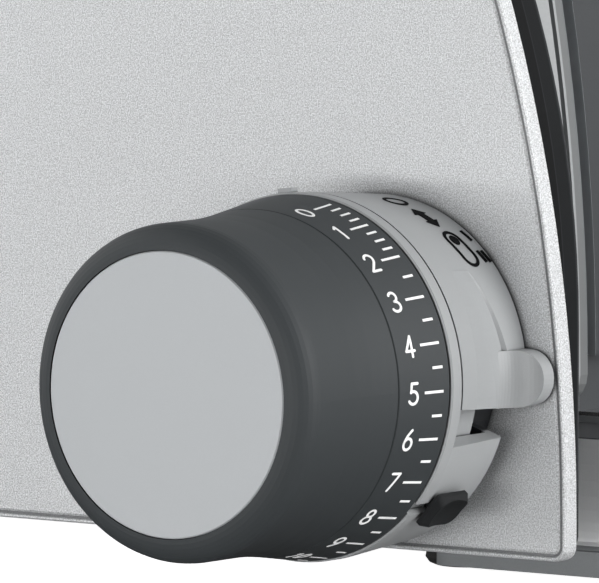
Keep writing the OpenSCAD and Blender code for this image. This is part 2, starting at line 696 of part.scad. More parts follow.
module shaft_clip() {
    color("gray") place() on_knob() translate([0, 0, knob_boss_out + gap]) tube(shaft_r + 3, shaft_r + seat, clip_t);
}
// The follower pin sits behind the knob axis and the groove winds past it as the knob turns
cam_x0 = frame_x + 2.7;
groove_root = shaft_r + 2;
groove_half = follower_r + 0.6;
follower_x = rod_end_x - groove_half - 0.8;
module thread_cam() {
    over = 20;
    lead = -360 / deg_per_mm;
    a = 180 - knob_turn - over;
    z0 = -follower_x + (knob_turn + over) / deg_per_mm;
    color("whitesmoke") place() on_knob() difference() {
        translate([0, 0, -rod_end_x]) cylinder(r = cam_r, h = rod_end_x - cam_x0);
        translate([0, 0, -rod_end_x - 1]) cylinder(r = shaft_r + seat, h = rod_end_x);
        translate([0, 0, z0]) helix([[groove_root, -groove_half], [cam_r + 2, -groove_half], [cam_r + 2, groove_half],
            [groove_root, groove_half]], a, 180 + over, lead, 60);
    }
}

// Fixed collar, switch lever and lock slider
lever_front = ring_len - 0.5;
module ring_wall_profile(front) {
    at = ring_r0 + (ring_r1 - ring_r0) * front / ring_len;
    polygon([[ring_r0 - ring_wall, 0.5], [ring_r0, 0.5], [at, front], [ring_r0 - ring_wall, front]]);
}
slider_mid = 131.7;
// Radius of the ring's face at depth d
function ring_at(d) = ring_r0 + (ring_r1 - ring_r0) * d / ring_len;
module switch_collar() {
    color([0.7, 0.71, 0.72]) place() on_knob() difference() {
        union() {
            difference() {
                rotate_extrude($fn = 96) polygon([[tube_r - 2.5, 0.15], [tube_r, 0.15], [tube_r, shell_off],
                    [ring_at(shell_off) - 0.6, shell_off], [ring_at(shell_off + 0.6), shell_off + 0.6], [ring_r1, ring_len],
                    [ring_r1, ring_len + rim_t - 0.3], [ring_r1 - 0.3, ring_len + rim_t], [tube_r - 2.5, ring_len + rim_t]]);
                rotate_extrude($fn = 96) translate([tube_r, shell_off + 2]) square([ring_r0 - ring_wall - tube_r, ring_len - shell_off - 2]);
                sector(-98, shell_start) translate([tube_r - 0.05, -1]) square([ring_r1, ring_len + 1.05]);
            }
            sector(-8.5, -3.5) translate([ring_r1 - 1, ring_len + 0.4]) square([1.9, rim_t - 0.9]);
        }
        sector(slider_mid - 2.6, slider_mid + 2.6 + lock_turn) translate([ring_r0 - 4, 16]) square([6, 6]);
        sector(slider_mid - 2, slider_mid + 2.5) translate([ring_r0 + 0.3, 18]) square([4, 12]);
    }
}
// Shallow scoop that deepens towards the lug, with its edge nearer to the panel there
scoop_from = 53;
module thumb_scoop() {
    function deep(a) = scoop_in * (0.06 + 0.94 * min(1, (a - scoop_from) / 30));
    function edge(a) = ring_len * 0.454 - (a - scoop_from) * 0.137;
    last = lever_end + 6;
    out = ring_r1 + 8;
    end = ring_len * 0.8;
    loft([for (i = [0:12]) let (a = last + (scoop_from - last) * i / 12, e = edge(a), g = 90 - a)
        [for (c = [[ring_at(e - 0.5) + 0.25, e - 0.5], [out, e - 0.5], [out, end], [ring_at(end) + 0.12, end],
            [ring_at(e + 5) - deep(a) * 0.9, e + 5], [ring_at(e + 0.3) - deep(a), e + 0.3]])
            [c[0] * cos(g), c[0] * sin(g), c[1]]]]);
}
// Tab with a round end whose face sweeps up from the scoop
module finger_lug() {
    low = -lug_w / 2 - 0.1;
    tip = lug_w * 0.49;
    face_d = 4.3;
    low_r = ring_r0 - 0.3;
    difference() {
        translate([0, 0, 0.8]) linear_extrude(9) polygon(rounded([[ring_r0 - 7, low, 0.5, 2], [lug_reach, low, tip, 10],
            [lug_reach, low + lug_w, tip, 10], [ring_r0 - 7, low + lug_w, 0.5, 2]]));
        cylinder(r = ring_r0 - 1, h = 12);
        sector(65, 115) polygon(concat([[lug_reach + 4, face_d], [lug_reach + 4, 13], [low_r - 2, 13]],
            [for (k = [0:14]) let (t = k / 14) [low_r * pow(1 - t, 2) + 2 * (low_r + 0.2) * t * (1 - t) + (lug_reach + 0.8) * t * t,
                (face_d + 6.1) * pow(1 - t, 2) + 2 * (face_d + 0.1) * t * (1 - t) + face_d * t * t]]));
    }
}
module switch_lever() {
    wing = 84;
    tail_r = ring_r0 - ring_wall - 0.4;
    tail_d = lever_front - 0.6;
    tail_w = 10.8;
    color([0.72, 0.73, 0.74]) place() on_knob() {
        difference() {
            union() {
                difference() {
                    sector(-80, lever_end + 5) ring_wall_profile(lever_front);
                    translate([ring_r0 - 9, -ring_r1 * sin(lever_end - 90), lever_front]) rotate([-3.7, 0, 0])
                        translate([0, -8, -ring_len * 1.2]) cube([16, 8, ring_len * 1.4]);
                    thumb_scoop();
                }
                finger_lug();
                sector(-79, wing) translate([tube_r + gap, lever_front - 2.4]) square([ring_r0 - tube_r, 2.2]);
                sector(wing - 4, lever_end - 1) translate([tail_r - 2.5, tail_d - tail_w]) square([3.6, tail_w]);
                sector(lever_end - 6, lever_end + 12.3) translate([tail_r - 2.4, tail_d - tail_w + 0.1]) square([2.4, tail_w - 0.2]);
                sector(pin_angle - 6, pin_angle + 6) translate([tube_r + gap + 0.1, lever_front - 8])
                    square([ring_r0 - 1 - tube_r, 7]);
            }
            rotate([0, 0, 90 - pin_angle]) translate([pin_ring_r, 0, -1]) cylinder(r = pin_r + seat, h = lever_front - 1);
        }
    }
}
module switch_pin() {
    color("white") place() on_knob() rotate([0, 0, 90 - pin_angle])
        translate([pin_ring_r, 0, -frame_x - 3.5]) cylinder(r = pin_r, h = frame_x + 3.5 + lever_front - 3);
}
module lock_slider() {
    d0 = 14.2;
    d1 = 24.3;
    half = 3.9;
    low = ring_r1 + 0.15;
    color([0.05, 0.05, 0.055]) place() on_knob() rotate([0, 0, -slider_mid]) {
        difference() {
            hull() {
                for (p = [[1 - half, d1 - 1, 1], [1 - half, d0 + 1, 1], [half - 1, d1 - 1, 1], [half - 2.8, d0 + 2.8, 2.8]])
                    translate([p[0], low + 0.2, p[1]]) rotate([-90, 0, 0]) cylinder(r = p[2], h = 0.8, $fn = 24);
                for (p = [[2.2 - half, d1 - 2, 1], [1.8 - half, d0 + 1.8, 1], [half - 1.8, d1 - 2, 1], [half - 3.2, d0 + 3.2, 2.4]])
                    translate([p[0], low + 1, p[1]]) rotate([-90, 0, 0]) cylinder(r = p[2], h = 1.4, $fn = 24);
            }
            translate([0, low + 13, (d0 + d1) / 2]) sphere(r = 11.6, $fn = 40);
        }
        translate([-1.2, ring_r0 - 5, 16.6]) cube([2.4, low + 1 - ring_r0 + 5, 4.6]);
    }
}

// Stop plate with its backing, guided on the rods and moved by the thread cam
stop_face = cut_x + close_past;
stop_x = stop_face - stop_t;
back_x1 = stop_x - backing_gap;
back_x0 = back_x1 - backing_t;
stop_z = panel_z + stop_up;
stop_top = stop_z + stop_h;
stop_bend_z = stop_z + 7;
// Outline with a leaning front edge and a round cut, r from the blade axis, along its back
function stop_outline(low, top, r) = let (
    a = 180 - asin((top - 8 - blade_z) / r),
    b = 180 + asin((blade_z - low - 14) / r),
    c = [blade_y, blade_z],
    m = c + r / cos((b - a) / 2) * [cos((a + b) / 2), sin((a + b) / 2)],
    p = c + r * [cos(a), sin(a)],
    q = c + r * [cos(b), sin(b)],
    g = asin(max(low + 8 - stop_bend_z, 0) / stop_bend_r),
    s = [stop_front + stop_bend_r * (1 - cos(g)), stop_bend_z + stop_bend_r * sin(g)],
    v = s + stop_bend_r * tan((stop_lean - g) / 2) * [sin(g), cos(g)])
    [[s[0] - (s[1] - low) * tan(g), low, 6, 5],
    [v[0], v[1], stop_bend_r, 10],
    [v[0] + (top - v[1]) * tan(stop_lean), top, 14, 6],
    [p[0] + (p[0] - m[0]) * (top - p[1]) / (p[1] - m[1]), top, 3, 4],
    [m[0], m[1], r, 18],
    [q[0] + (q[0] - m[0]) * (low - q[1]) / (q[1] - m[1]), low, 3, 4]];
cam_room_z = knob_z + cam_r + 5;
backing_outline = stop_outline(cam_room_z, stop_top - 3, blade_r + stop_gap + 5);
skirt_t = 2.2;
skirt_x = frame_x + stop_travel + 0.7;
shroud_outline = inset(backing_outline, skirt_t + gap + 0.4);
shroud_t = 2;
shroud_x1 = back_x0 - stop_travel - gap;
cam_cover_r = cam_r + 1.5;
stop_screw_places = [[stop_front + 24, cam_room_z + 16], [stop_front + 72, cam_room_z + 16],
    [stop_front + 30, stop_top - 18], [stop_front + 82, stop_top - 18]];
module stop_plate() {
    color([0.83, 0.84, 0.84]) place() difference() {
        slab(stop_outline(stop_z, stop_top, blade_r + stop_gap), stop_x, stop_face);
        intersection() {
            slab(inset(stop_outline(stop_z, stop_top, blade_r + stop_gap), 3), stop_face - 0.4, stop_face + 1);
            for (z = [stop_z + 12:12:stop_top - 12]) translate([stop_x, 0, z - 0.6]) cube([stop_t + 2, blade_y, 1.2]);
        }
        for (p = stop_screw_places) along_x(stop_x - 1) translate([p[0], p[1], 0]) cylinder(r = screw_r + seat, h = 1 + stop_t * 0.6);
    }
}
// Backing plate with a skirt that slides over the fixed shroud
module stop_backing() {
    color([0.78, 0.79, 0.8]) place() difference() {
        slab(backing_outline, skirt_x, back_x1);
        slab(inset(backing_outline, skirt_t), skirt_x - 1, back_x0);
        for (p = rods) along_x(back_x0 - 1) translate([p[0], p[1], 0]) cylinder(r = rod_r + 4 + seat, h = backing_t + 2);
        for (p = stop_screw_places) along_x(back_x0 - 1) translate([p[0], p[1], 0]) cylinder(r = screw_r + seat, h = backing_t + 2);
    }
}
module stop_shroud() {
    slot = arm_h / 2 + 2;
    color([0.08, 0.08, 0.085]) place() {
        difference() {
            slab(shroud_outline, frame_x, shroud_x1);
            slab(inset(shroud_outline, shroud_t), frame_x - 1, shroud_x1 + 1);
        }
        difference() {
            along_x(frame_x) translate([knob_y, knob_z, 0]) tube(cam_cover_r + shroud_t, cam_cover_r, rod_end_x - frame_x);
            translate([frame_x + 1.5, knob_y, knob_z - slot]) cube([rod_end_x, 2 * cam_cover_r, 2 * slot]);
        }
    }
}
module stop_screws() {
    color("gray") place() for (p = stop_screw_places) along_x(0) translate([p[0], p[1], 0]) {
        translate([0, 0, back_x0 - 2]) cylinder(r = head_r, h = 2);
        translate([0, 0, back_x0 - 1]) cylinder(r = screw_r, h = 1 + backing_t + backing_gap + stop_t * 0.5);
        translate([0, 0, back_x1]) cylinder(r = 5, h = backing_gap);
    }
}
arm_y = knob_y + cam_r + 2.5;
arm_h = 9;
arm_t = 6;
sleeve_x = frame_x + 1.2 + stop_travel + 0.4;
module stop_carrier() {
    web_t = 6;
    sleeve_r = rod_r + 4;
    color([0.15, 0.15, 0.16]) place() difference() {
        union() {
            slab(box(rods[0][0] - 14, rods[0][1] - sleeve_r, rods[0][0] + 14, rods[1][1] + 12, 6), back_x0 - web_t, back_x0);
            for (p = rods) along_x(sleeve_x) translate([p[0], p[1], 0]) cylinder(r = sleeve_r, h = back_x1 - sleeve_x);
        }
        for (p = rods) along_x(sleeve_x - 1) translate([p[0], p[1], 0]) cylinder(r = rod_r + fit, h = back_x1 - sleeve_x + 2);
        for (p = stop_screw_places) along_x(back_x0 - web_t - 1) translate([p[0], p[1], 0]) cylinder(r = head_r + 0.5, h = web_t + 2);
    }
}
// Arm that hangs from the skirt and holds the follower pin
module follower_arm() {
    color([0.15, 0.15, 0.16]) place() difference() {
        union() {
            translate([follower_x - arm_h / 2, arm_y, knob_z - arm_h / 2]) cube([arm_h, arm_t, cam_room_z - knob_z + arm_h / 2]);
            translate([follower_x - arm_h / 2, arm_y, cam_room_z - 3]) cube([arm_h + 8, arm_t + 14, 3]);
        }
        along_y([follower_x, arm_y - 1, knob_z]) cylinder(r = follower_r + seat, h = arm_t);
    }
}
module cam_follower() {
    color("silver") place() along_y([follower_x, knob_y + groove_root + 0.4, knob_z])
        cylinder(r = follower_r, h = arm_y + arm_t - 1.2 - knob_y - groove_root - 0.4);
}

// Blade with its hub, lock cap, shaft and worm wheel
hub_x = cut_x - 4.4;
lock_seat_x = cut_x - 2.8;
module blade() {
    wave_r = 6;
    wave_in = 0.9;
    color([0.86, 0.87, 0.88]) place() on_blade(cut_x) difference() {
        rotate_extrude($fn = 120) polygon([[axle_r + fit, -4.4], [26, -4.4], [34, -4.2], [60, -2], [blade_r - bevel_w, -1.8],
            [blade_r, -0.35], [blade_r, 0], [60, 0], [58, -0.25], [32, -2.6], [26, -2.8], [axle_r + fit, -2.8]]);
        for (i = [0:blade_waves - 1]) rotate([0, 0, i * 360 / blade_waves])
            translate([blade_r + wave_r - wave_in, 0, -3]) cylinder(r = wave_r, h = 4);
    }
}
module blade_hub() {
    color("silver") place() {
        on_blade(hub_x - 3.2) tube(24, axle_r + seat, 3.2);
        on_blade(housing_right + 0.3) tube(axle_r + 4, axle_r + seat, hub_x - 3 - housing_right);
    }
}
module blade_lock() {
    color([0.1, 0.1, 0.11]) place() on_blade(lock_seat_x) difference() {
        rotate_extrude() polygon([[0, 0.15], [axle_r + 1, 0.15], [axle_r + 1, 0], [22, 0], [22, 1.6], [20.6, 2.5], [0, 2.5]]);
        translate([-13, -2, 1.2]) cube([26, 4, 3]);
    }
}
module blade_shaft() {
    color("silver") place() on_blade(frame_x + 0.6) cylinder(r = axle_r, h = lock_seat_x - frame_x - 0.6);
}
module worm_wheel() {
    step = 360 / gear_teeth;
    tip = gear_r + gear_module * 0.9;
    root = gear_r - gear_module * 1.1;
    // Each tooth is a slim trapezium, so the worm thread has room on both sides
    teeth = [for (i = [0:gear_teeth - 1]) for (c = [[root, -0.28], [tip, -0.1], [tip, 0.1], [root, 0.28]])
        let (g = (i + 0.5 + c[1]) * step) c[0] * [cos(g), sin(g)]];
    color("ivory") place() on_blade(motor_x - gear_w / 2) difference() {
        union() {
            rotate([0, 0, 90 - step * floor(90 / step)]) linear_extrude(gear_w) polygon(teeth);
            translate([0, 0, -4]) cylinder(r = axle_r + 5, h = gear_w + 8);
        }
        translate([0, 0, -5]) cylinder(r = axle_r + seat, h = gear_w + 10);
    }
}

// Rotor with commutator, fan and worm
module rotor_shaft() {
    color("silver") place() on_motor(post_y - 1) cylinder(r = rotor_shaft_r, h = bracket_y1 + bracket_t + 2 - post_y);
}
module rotor_core() {
    color("slategray") place() on_motor(stack_y) difference() {
        cylinder(r = core_r, h = stack_len);
        translate([0, 0, -1]) cylinder(r = rotor_shaft_r + seat, h = stack_len + 2);
        for (i = [0:11]) rotate([0, 0, i * 30]) translate([core_r - 0.6, 0, -1]) cylinder(r = 1, h = stack_len + 2, $fn = 24);
    }
}
module commutator() {
    color("peru") place() on_motor(brush_y - 4) tube(collector_r, rotor_shaft_r + seat, 8);
}
module cooling_fan() {
    color("dimgray") place() on_motor(bracket_y0 + bracket_t + 1.6) {
        tube(6.5, rotor_shaft_r + seat, 4);
        tube(motor_r - 4, rotor_shaft_r + seat, 1);
        for (i = [0:8]) rotate([0, 0, i * 40]) translate([6, -0.5, 0]) cube([motor_r - 10.5, 1, 3.6]);
    }
}
worm_len = 26;
module worm() {
    pitch = PI * gear_module;
    turns = 6;
    root = worm_r - gear_module * 1.1;
    tip = worm_r + gear_module * 0.8;
    color("gray") place() on_motor(blade_y) {
        difference() {
            translate([0, 0, -worm_len / 2]) cylinder(r = root, h = worm_len);
            translate([0, 0, -worm_len]) cylinder(r = rotor_shaft_r + seat, h = 2 * worm_len);
        }
        translate([0, 0, -turns / 2 * pitch]) helix([[root - 0.3, -pitch * 0.17], [tip, -pitch * 0.09], [tip, pitch * 0.09],
            [root - 0.3, pitch * 0.17]], 90 - 180 * turns, 90 + 180 * turns, pitch, 20);
    }
}

// Carriage with its wall, and the remnant holder that rides on the wall
tray_x = cut_x + tray_gap;
tray_x1 = right_x - 0.5;
tray_z = floor_z - sheet_t - tray_t;
tray_outline = box(tray_x, 0, tray_x1, tray_len, 8);
wall_x0 = tray_x + 0.5;
wall_x1 = tray_x1 - 1;
wall_top = floor_z + wall_h;
wall_low = floor_z + wall_skirt;
wall_bend_r = 430;
function wall_face(z) = wall_y + pow(max(z - wall_low, 0), 2) / (2 * wall_bend_r);
function wall_line(off, z0, z1, n = 10) = [for (i = [0:n]) let (z = z0 + (z1 - z0) * i / n) [wall_face(z) + off, z]];
function reversed(p) = [for (i = [len(p) - 1:-1:0]) p[i]];
wall_foot = 18;
carriage_screw_places = [for (x = [wall_x0 + 14, (wall_x0 + wall_x1) / 2, wall_x1 - 14]) [x, wall_y + wall_t + wall_foot - 5]];
bearing_y0 = 24;
bearing_len = 76;
pads = [[tray_x1 - 22, 14], [tray_x1 - 22, tray_len - 34]];
module carriage_tray() {
    color([0.2, 0.205, 0.21]) place() difference() {
        plank(tray_outline, tray_z, tray_z + tray_t);
        translate([guide_x + bearing_w / 2 + 8, 10, tray_z - 1]) cube([pads[0][0] - guide_x - bearing_w / 2 - 14, tray_len - 20, tray_t - 1.4]);
        for (p = pads) translate([p[0], p[1], tray_z - 1]) cube([16, 20, 2.2]);
        for (p = carriage_screw_places) translate([p[0], p[1], tray_z - 1]) cylinder(r = screw_r + seat, h = tray_t + 2);
    }
}
module carriage_sheet() {
    color([0.8, 0.81, 0.82]) place() difference() {
        plank(tray_outline, floor_z - sheet_t, floor_z);
        for (p = carriage_screw_places) translate([p[0], p[1], floor_z - sheet_t - 1]) cylinder(r = screw_r + seat, h = sheet_t + 2);
    }
}
module carriage_wall() {
    foot_t = 3;
    web = wall_y + 7;
    color([0.22, 0.225, 0.23]) place() difference() {
        union() {
            along_x(wall_x0) linear_extrude(wall_x1 - wall_x0) polygon(concat(
                wall_line(0, wall_low, wall_top - wall_t / 2),
                [for (k = [1:7]) let (g = 180 - k * 22.5) [wall_face(wall_top) + wall_t / 2 * (1 + cos(g)), wall_top - wall_t / 2 + wall_t / 2 * sin(g)]],
                reversed(wall_line(wall_t, wall_low, wall_top - wall_t / 2))));
            translate([wall_x0, web - 3, floor_z]) cube([wall_x1 - wall_x0, 4, wall_skirt + 12]);
            translate([wall_x0, web - 3, floor_z]) cube([wall_x1 - wall_x0, wall_t + wall_foot - 3, foot_t]);
            for (k = [0, 0.34, 0.66, 1]) translate([wall_x0 + k * (wall_x1 - wall_x0 - 3), web, floor_z])
                rotate([90, 0, 90]) linear_extrude(3) polygon([[0, 0], [14, 0], [1, 26], [0, 26]]);
        }
        for (p = carriage_screw_places) translate([p[0], p[1], floor_z - 1]) cylinder(r = screw_r + seat, h = foot_t + 2);
    }
}
module slide_bearing() {
    low = panel_z + 1.5;
    color("ivory") place() difference() {
        translate([guide_x - bearing_w / 2, bearing_y0, low]) cube([bearing_w, bearing_len, tray_z - low]);
        along_y([guide_x, bearing_y0 - 1, guide_z]) cylinder(r = guide_r + fit, h = bearing_len + 2);
    }
}
module slide_pads() {
    color("white") place() for (p = pads) translate([p[0] + 0.1, p[1] + 0.1, rail_top + 0.25])
        cube([15.8, 19.8, tray_z + 1.2 - rail_top - 0.25]);
}
module carriage_screws() {
    color("silver") place() for (p = carriage_screw_places) translate([p[0], p[1], tray_z + 0.5]) {
        cylinder(r = screw_r, h = tray_t + sheet_t + 2.5);
        translate([0, 0, tray_t + sheet_t + 2.5]) cylinder(r = head_r, h = 2);
    }
}
saddle_x0 = wall_x1 - 42;
saddle_x1 = wall_x1 - 2;
saddle_low = wall_top - 32;
saddle_t = 3.2;
pusher_y1 = wall_y + 94;
pusher_x = saddle_x0 + 6;
module holder_saddle() {
    top = wall_top + gap;
    y0 = wall_face(top) - gap - saddle_t;
    y1 = wall_face(top) + wall_t + gap + saddle_t;
    color([0.24, 0.245, 0.25]) place() along_x(saddle_x0) linear_extrude(saddle_x1 - saddle_x0) polygon(concat(
        wall_line(-gap - saddle_t, saddle_low, top - 3),
        [[y0 - 3, top], [y0 - 3, top + saddle_t - 1], [y0 - 2, top + saddle_t],
            [y1 + 2, top + saddle_t], [y1 + 3, top + saddle_t - 1], [y1 + 3, top]],
        reversed(wall_line(wall_t + gap + saddle_t, saddle_low, top - 3)),
        wall_line(wall_t + gap, saddle_low, top),
        reversed(wall_line(-gap, saddle_low, top))));
}
module holder_plate() {
    off = wall_t + gap + saddle_t;
    y0 = wall_face(wall_top) + off;
    low = floor_z + 3;
    rows = 3;
    top = wall_top - 8;
    color([0.24, 0.245, 0.25]) place() {
        difference() {
            slab([[y0 + 6, low, 6, 5], [y0, saddle_low - 6, 4, 4], [y0, top, 4, 5],
                [pusher_y1, wall_top - 34, 14, 6], [pusher_y1, low, 10, 6]], pusher_x, pusher_x + pusher_t);
            for (k = [0:3]) translate([pusher_x + pusher_t - 1, y0 + 14 + k * 16, low + 14]) cube([2, 3, 62]);
        }
        for (i = [0:rows - 1]) for (j = [0:rows - 1]) translate([pusher_x + 0.5, y0 + 20 + j * 20, low + 18 + i * 24])
            rotate([0, -90, 0]) cylinder(r1 = 2, r2 = 0.5, h = spike_len + 0.5, $fn = 24);
        along_x(pusher_x) linear_extrude(pusher_t + 6) polygon(concat(
            wall_line(off + seat, saddle_low + 1, top - 6), [[y0 + 3, top - 6], [y0 + 3, saddle_low + 1]]));
    }
}
module holder_grip() {
    color([0.12, 0.12, 0.13]) place() {
        z0 = wall_top + gap + saddle_t;
        x = (saddle_x0 + saddle_x1) / 2;
        y = wall_face(wall_top) + wall_t / 2;
        translate([x, y, z0]) rotate_extrude() polygon([[0, 0], [9, 0], [9, 1.5], [7, 5], [6.5, 16], [9, 22],
            [13, 26], [14, 30], [12.5, 34], [8, 36.5], [2, 37.5], [0, 37.5]]);
    }
}

base_plate();
rail_block();
guide_rod();
rubber_feet();
base_screws();
side_panel();
inner_frame();
gear_housing();
housing_screws();
blade_guard();
shaft_bushes();
knob_bush();
switch_collar();
guide_rods();
motor_stator();
motor_windings();
motor_brackets();
motor_bolts();
motor_bearings();
carbon_brushes();
capacitor();
micro_switch();
cable_gland();
knob_shell();
knob_cap();
scale_ring();
knob_shaft();
thread_cam();
shaft_clip();
knob_screw();
switch_lever();
switch_pin();
lock_slider();
stop_plate();
stop_backing();
stop_shroud();
stop_carrier();
follower_arm();
cam_follower();
stop_screws();
blade();
blade_hub();
blade_lock();
blade_shaft();
worm_wheel();
rotor_shaft();
rotor_core();
commutator();
cooling_fan();
worm();
carriage_tray();
carriage_sheet();
carriage_wall();
slide_bearing();
slide_pads();
carriage_screws();
holder_saddle();
holder_plate();
holder_grip();
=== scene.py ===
"""Looks of an electric food slicer: printed dial, switch signs, finishes, studio light and camera."""

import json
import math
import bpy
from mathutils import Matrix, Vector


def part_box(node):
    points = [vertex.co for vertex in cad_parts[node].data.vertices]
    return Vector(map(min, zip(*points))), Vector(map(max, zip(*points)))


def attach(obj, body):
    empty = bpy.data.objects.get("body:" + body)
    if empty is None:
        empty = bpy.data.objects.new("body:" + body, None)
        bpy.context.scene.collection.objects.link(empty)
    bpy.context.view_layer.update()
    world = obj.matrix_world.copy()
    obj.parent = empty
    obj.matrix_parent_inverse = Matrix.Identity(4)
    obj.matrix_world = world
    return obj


bl_info = {
    "name": "Food Slicer Looks",
    "version": (1, 0, 0),
    "blender": (4, 5, 0),
    "location": "View3D > Sidebar > Slicer",
    "description": "Prints the dial and the switch signs, paints every piece and sets up the studio",
    "category": "Object",
}

from collections import namedtuple

import bpy
import numpy as np
from bpy.props import FloatProperty, FloatVectorProperty, IntProperty, PointerProperty
from mathutils import Vector

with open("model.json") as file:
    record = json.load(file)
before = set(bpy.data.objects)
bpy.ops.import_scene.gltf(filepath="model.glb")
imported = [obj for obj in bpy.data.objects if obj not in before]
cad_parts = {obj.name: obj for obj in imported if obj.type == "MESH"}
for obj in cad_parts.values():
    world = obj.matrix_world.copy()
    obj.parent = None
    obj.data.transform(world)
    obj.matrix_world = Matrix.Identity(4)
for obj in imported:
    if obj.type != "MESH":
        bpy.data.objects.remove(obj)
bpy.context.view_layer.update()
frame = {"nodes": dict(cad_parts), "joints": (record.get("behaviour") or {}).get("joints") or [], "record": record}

MM = 0.001
KNOB = np.array(next(joint["pos_m"] for joint in frame["joints"] if joint["name"] == "knob_turn"))


def colour_setting(name, description, value):
    """A colour that a user can change."""
    return FloatVectorProperty(
        name=name, description=description, subtype="COLOR", size=3, min=0, max=1, default=value
    )


def size_setting(name, description, value):
    """A length, an angle or a strength that a user can change, never below zero."""
    return FloatProperty(name=name, description=description, min=0, default=value)


def power_setting(name, description, value):
    """A light's power in watts that a user can change."""
    return FloatProperty(name=name, description=description, subtype="POWER", min=0, default=value)


class DialSettings(bpy.types.PropertyGroup):
    """Sizes of the printed scale and signs, in millimetres and degrees"""

    digit_height: size_setting("Digit height", "Height of a number's centre line in mm", 3.85)
    digit_width: size_setting("Digit width", "Width of a number's centre line in mm", 2.25)
    digit_depth: size_setting("Digit place", "Distance of the numbers' middle from the panel in mm", 38.45)
    digit_line: size_setting("Digit line", "Width of a number's line in mm", 0.55)
    tick_end: size_setting("Tick end", "Distance of the ticks' near end from the panel in mm", 30.45)
    tick_long: size_setting("Long tick", "Length of a tick at a number in mm", 5.1)
    tick_short: size_setting("Short tick", "Length of a tick between numbers in mm", 2.7)
    tick_line: size_setting("Tick line", "Width of a tick in mm", 0.5)
    sign_line: size_setting("Sign line", "Width of a sign's line in mm", 0.74)
    print_lift: size_setting("Print lift", "Height of the paint above its surface in mm", 0.04)
    zero_angle: size_setting("Zero", "Turn of the first tick from the top in degrees", 14.95)
    unit_angle: size_setting("Unit", "Turn for one millimetre of slice in degrees", 15.17)
    highest: IntProperty(name="Highest", description="Highest number on the dial", min=1, default=20)


class FinishSettings(bpy.types.PropertyGroup):
    """Colours of the pieces that show most"""

    panel: colour_setting("Panel", "Silver paint of the side panel", (0.6, 0.61, 0.62))
    grip: colour_setting("Grip", "Dark plastic of the knob", (0.036, 0.041, 0.044))
    cap: colour_setting("Cap", "Light plate on the knob", (0.427, 0.444, 0.458))
    ring: colour_setting("Ring", "Light plastic of the switch ring", (0.323, 0.333, 0.339))
    figures: colour_setting("Figures", "White paint of the scale", (0.9, 0.9, 0.9))
    signs: colour_setting("Signs", "Black paint of the signs", (0.003, 0.003, 0.0035))


class StageSettings(bpy.types.PropertyGroup):
    """Light, floor and camera"""

    sky: size_setting("Sky", "Strength of the even light from above", 0.02)
    mirror: size_setting("Mirror", "Strength of the sky that metal reflects", 0.3)
    bounce: size_setting("Bounce", "Strength of the light from the floor", 0.02)
    front: power_setting("Front", "Power of the wide low light before the panel", 7.3)
    low: power_setting("Low", "Power of the short low light before the panel", 4)
    left: power_setting("Left", "Power of the light at the panel's rear", 9.5)
    right: power_setting("Right", "Power of the light at the panel's front", 15)
    top: power_setting("Top", "Power of the light above the panel's front", 4)
    back: power_setting("Back", "Power of the light on the blade's side", 8)
    floor: colour_setting("Floor", "Colour of the floor", (0.95, 0.95, 0.95))
    lens: FloatProperty(
        name="Lens", description="Focal length in mm", subtype="DISTANCE_CAMERA", min=1, default=420.7
    )


class SlicerSettings(bpy.types.PropertyGroup):
    """All settings of the slicer"""

    dial: PointerProperty(type=DialSettings)
    finish: PointerProperty(type=FinishSettings)
    stage: PointerProperty(type=StageSettings)


# Printed marks


def bow(cx, cy, rx, ry, start, end, steps=20):
    """Points of an ellipse arc: centre plus (rx cos, ry sin) from the start angle to the end angle."""
    g = np.radians(np.linspace(start, end, steps))
    return np.column_stack([cx + rx * np.cos(g), cy + ry * np.sin(g)])


def line(*points, steps=14):
    """Straight strokes through the given points: equal steps from each point to the next."""
    ends = np.array(points, float)
    t = np.linspace(0, 1, steps)[:, None]
    return np.vstack([a + (b - a) * t for a, b in zip(ends[:-1], ends[1:])])


def bend(start, pull, end, steps=14):
    """Points of a quadratic curve that leaves the start towards pull and comes to the end from it."""
    t = np.linspace(0, 1, steps)[:, None]
    a, b, c = (np.array(p, float) for p in (start, pull, end))
    return (1 - t) ** 2 * a + 2 * t * (1 - t) * b + t**2 * c


# Strokes of each figure in a box one unit wide and one unit high
FIGURES = {
    "0": [bow(0.5, 0.5, 0.46, 0.5, 0, 360, 40)],
    "1": [line((0.26, 0.84), (0.56, 1)), line((0.56, 1), (0.56, 0))],
    "2": [
        np.vstack([bow(0.48, 0.72, 0.46, 0.28, 165, -22), line((0.8, 0.5), (0.04, 0))]),
        line((0.04, 0), (1, 0)),
    ],
    "3": [bow(0.42, 0.76, 0.42, 0.24, 150, -90), bow(0.42, 0.26, 0.52, 0.26, 90, -150)],
    "4": [line((0.7, 0), (0.7, 1)), line((0.7, 1), (0, 0.28)), line((0, 0.28), (1, 0.28))],
    "5": [
        line((0.9, 1), (0.22, 1)),
        line((0.22, 1), (0.14, 0.58)),
        bow(0.4, 0.31, 0.54, 0.31, 122, -148, 26),
    ],
    "6": [bend((0.74, 1), (0.1, 0.66), (0.04, 0.3)), bow(0.5, 0.29, 0.46, 0.29, 0, 360, 36)],
    "7": [line((0.02, 1), (0.96, 1)), line((0.96, 1), (0.3, 0))],
    "8": [bow(0.5, 0.76, 0.38, 0.24, 0, 360, 32), bow(0.5, 0.27, 0.48, 0.27, 0, 360, 36)],
    "9": [bend((0.26, 0), (0.9, 0.34), (0.96, 0.7)), bow(0.5, 0.71, 0.46, 0.29, 0, 360, 36)],
}

# Numbers of two figures: the step between them, their width and their shift, in widths of a single figure
PAIR_STEP = 1.38
PAIR_WIDTH = 0.8
PAIR_SHIFT = 0.2

# The scale ring's cone: how much narrower it is in front, and its edge at the back and at both ends, in mm
SCALE_TAPER = 2.0
SCALE_EDGE = 0.3
SCALE_EDGES = 0.5

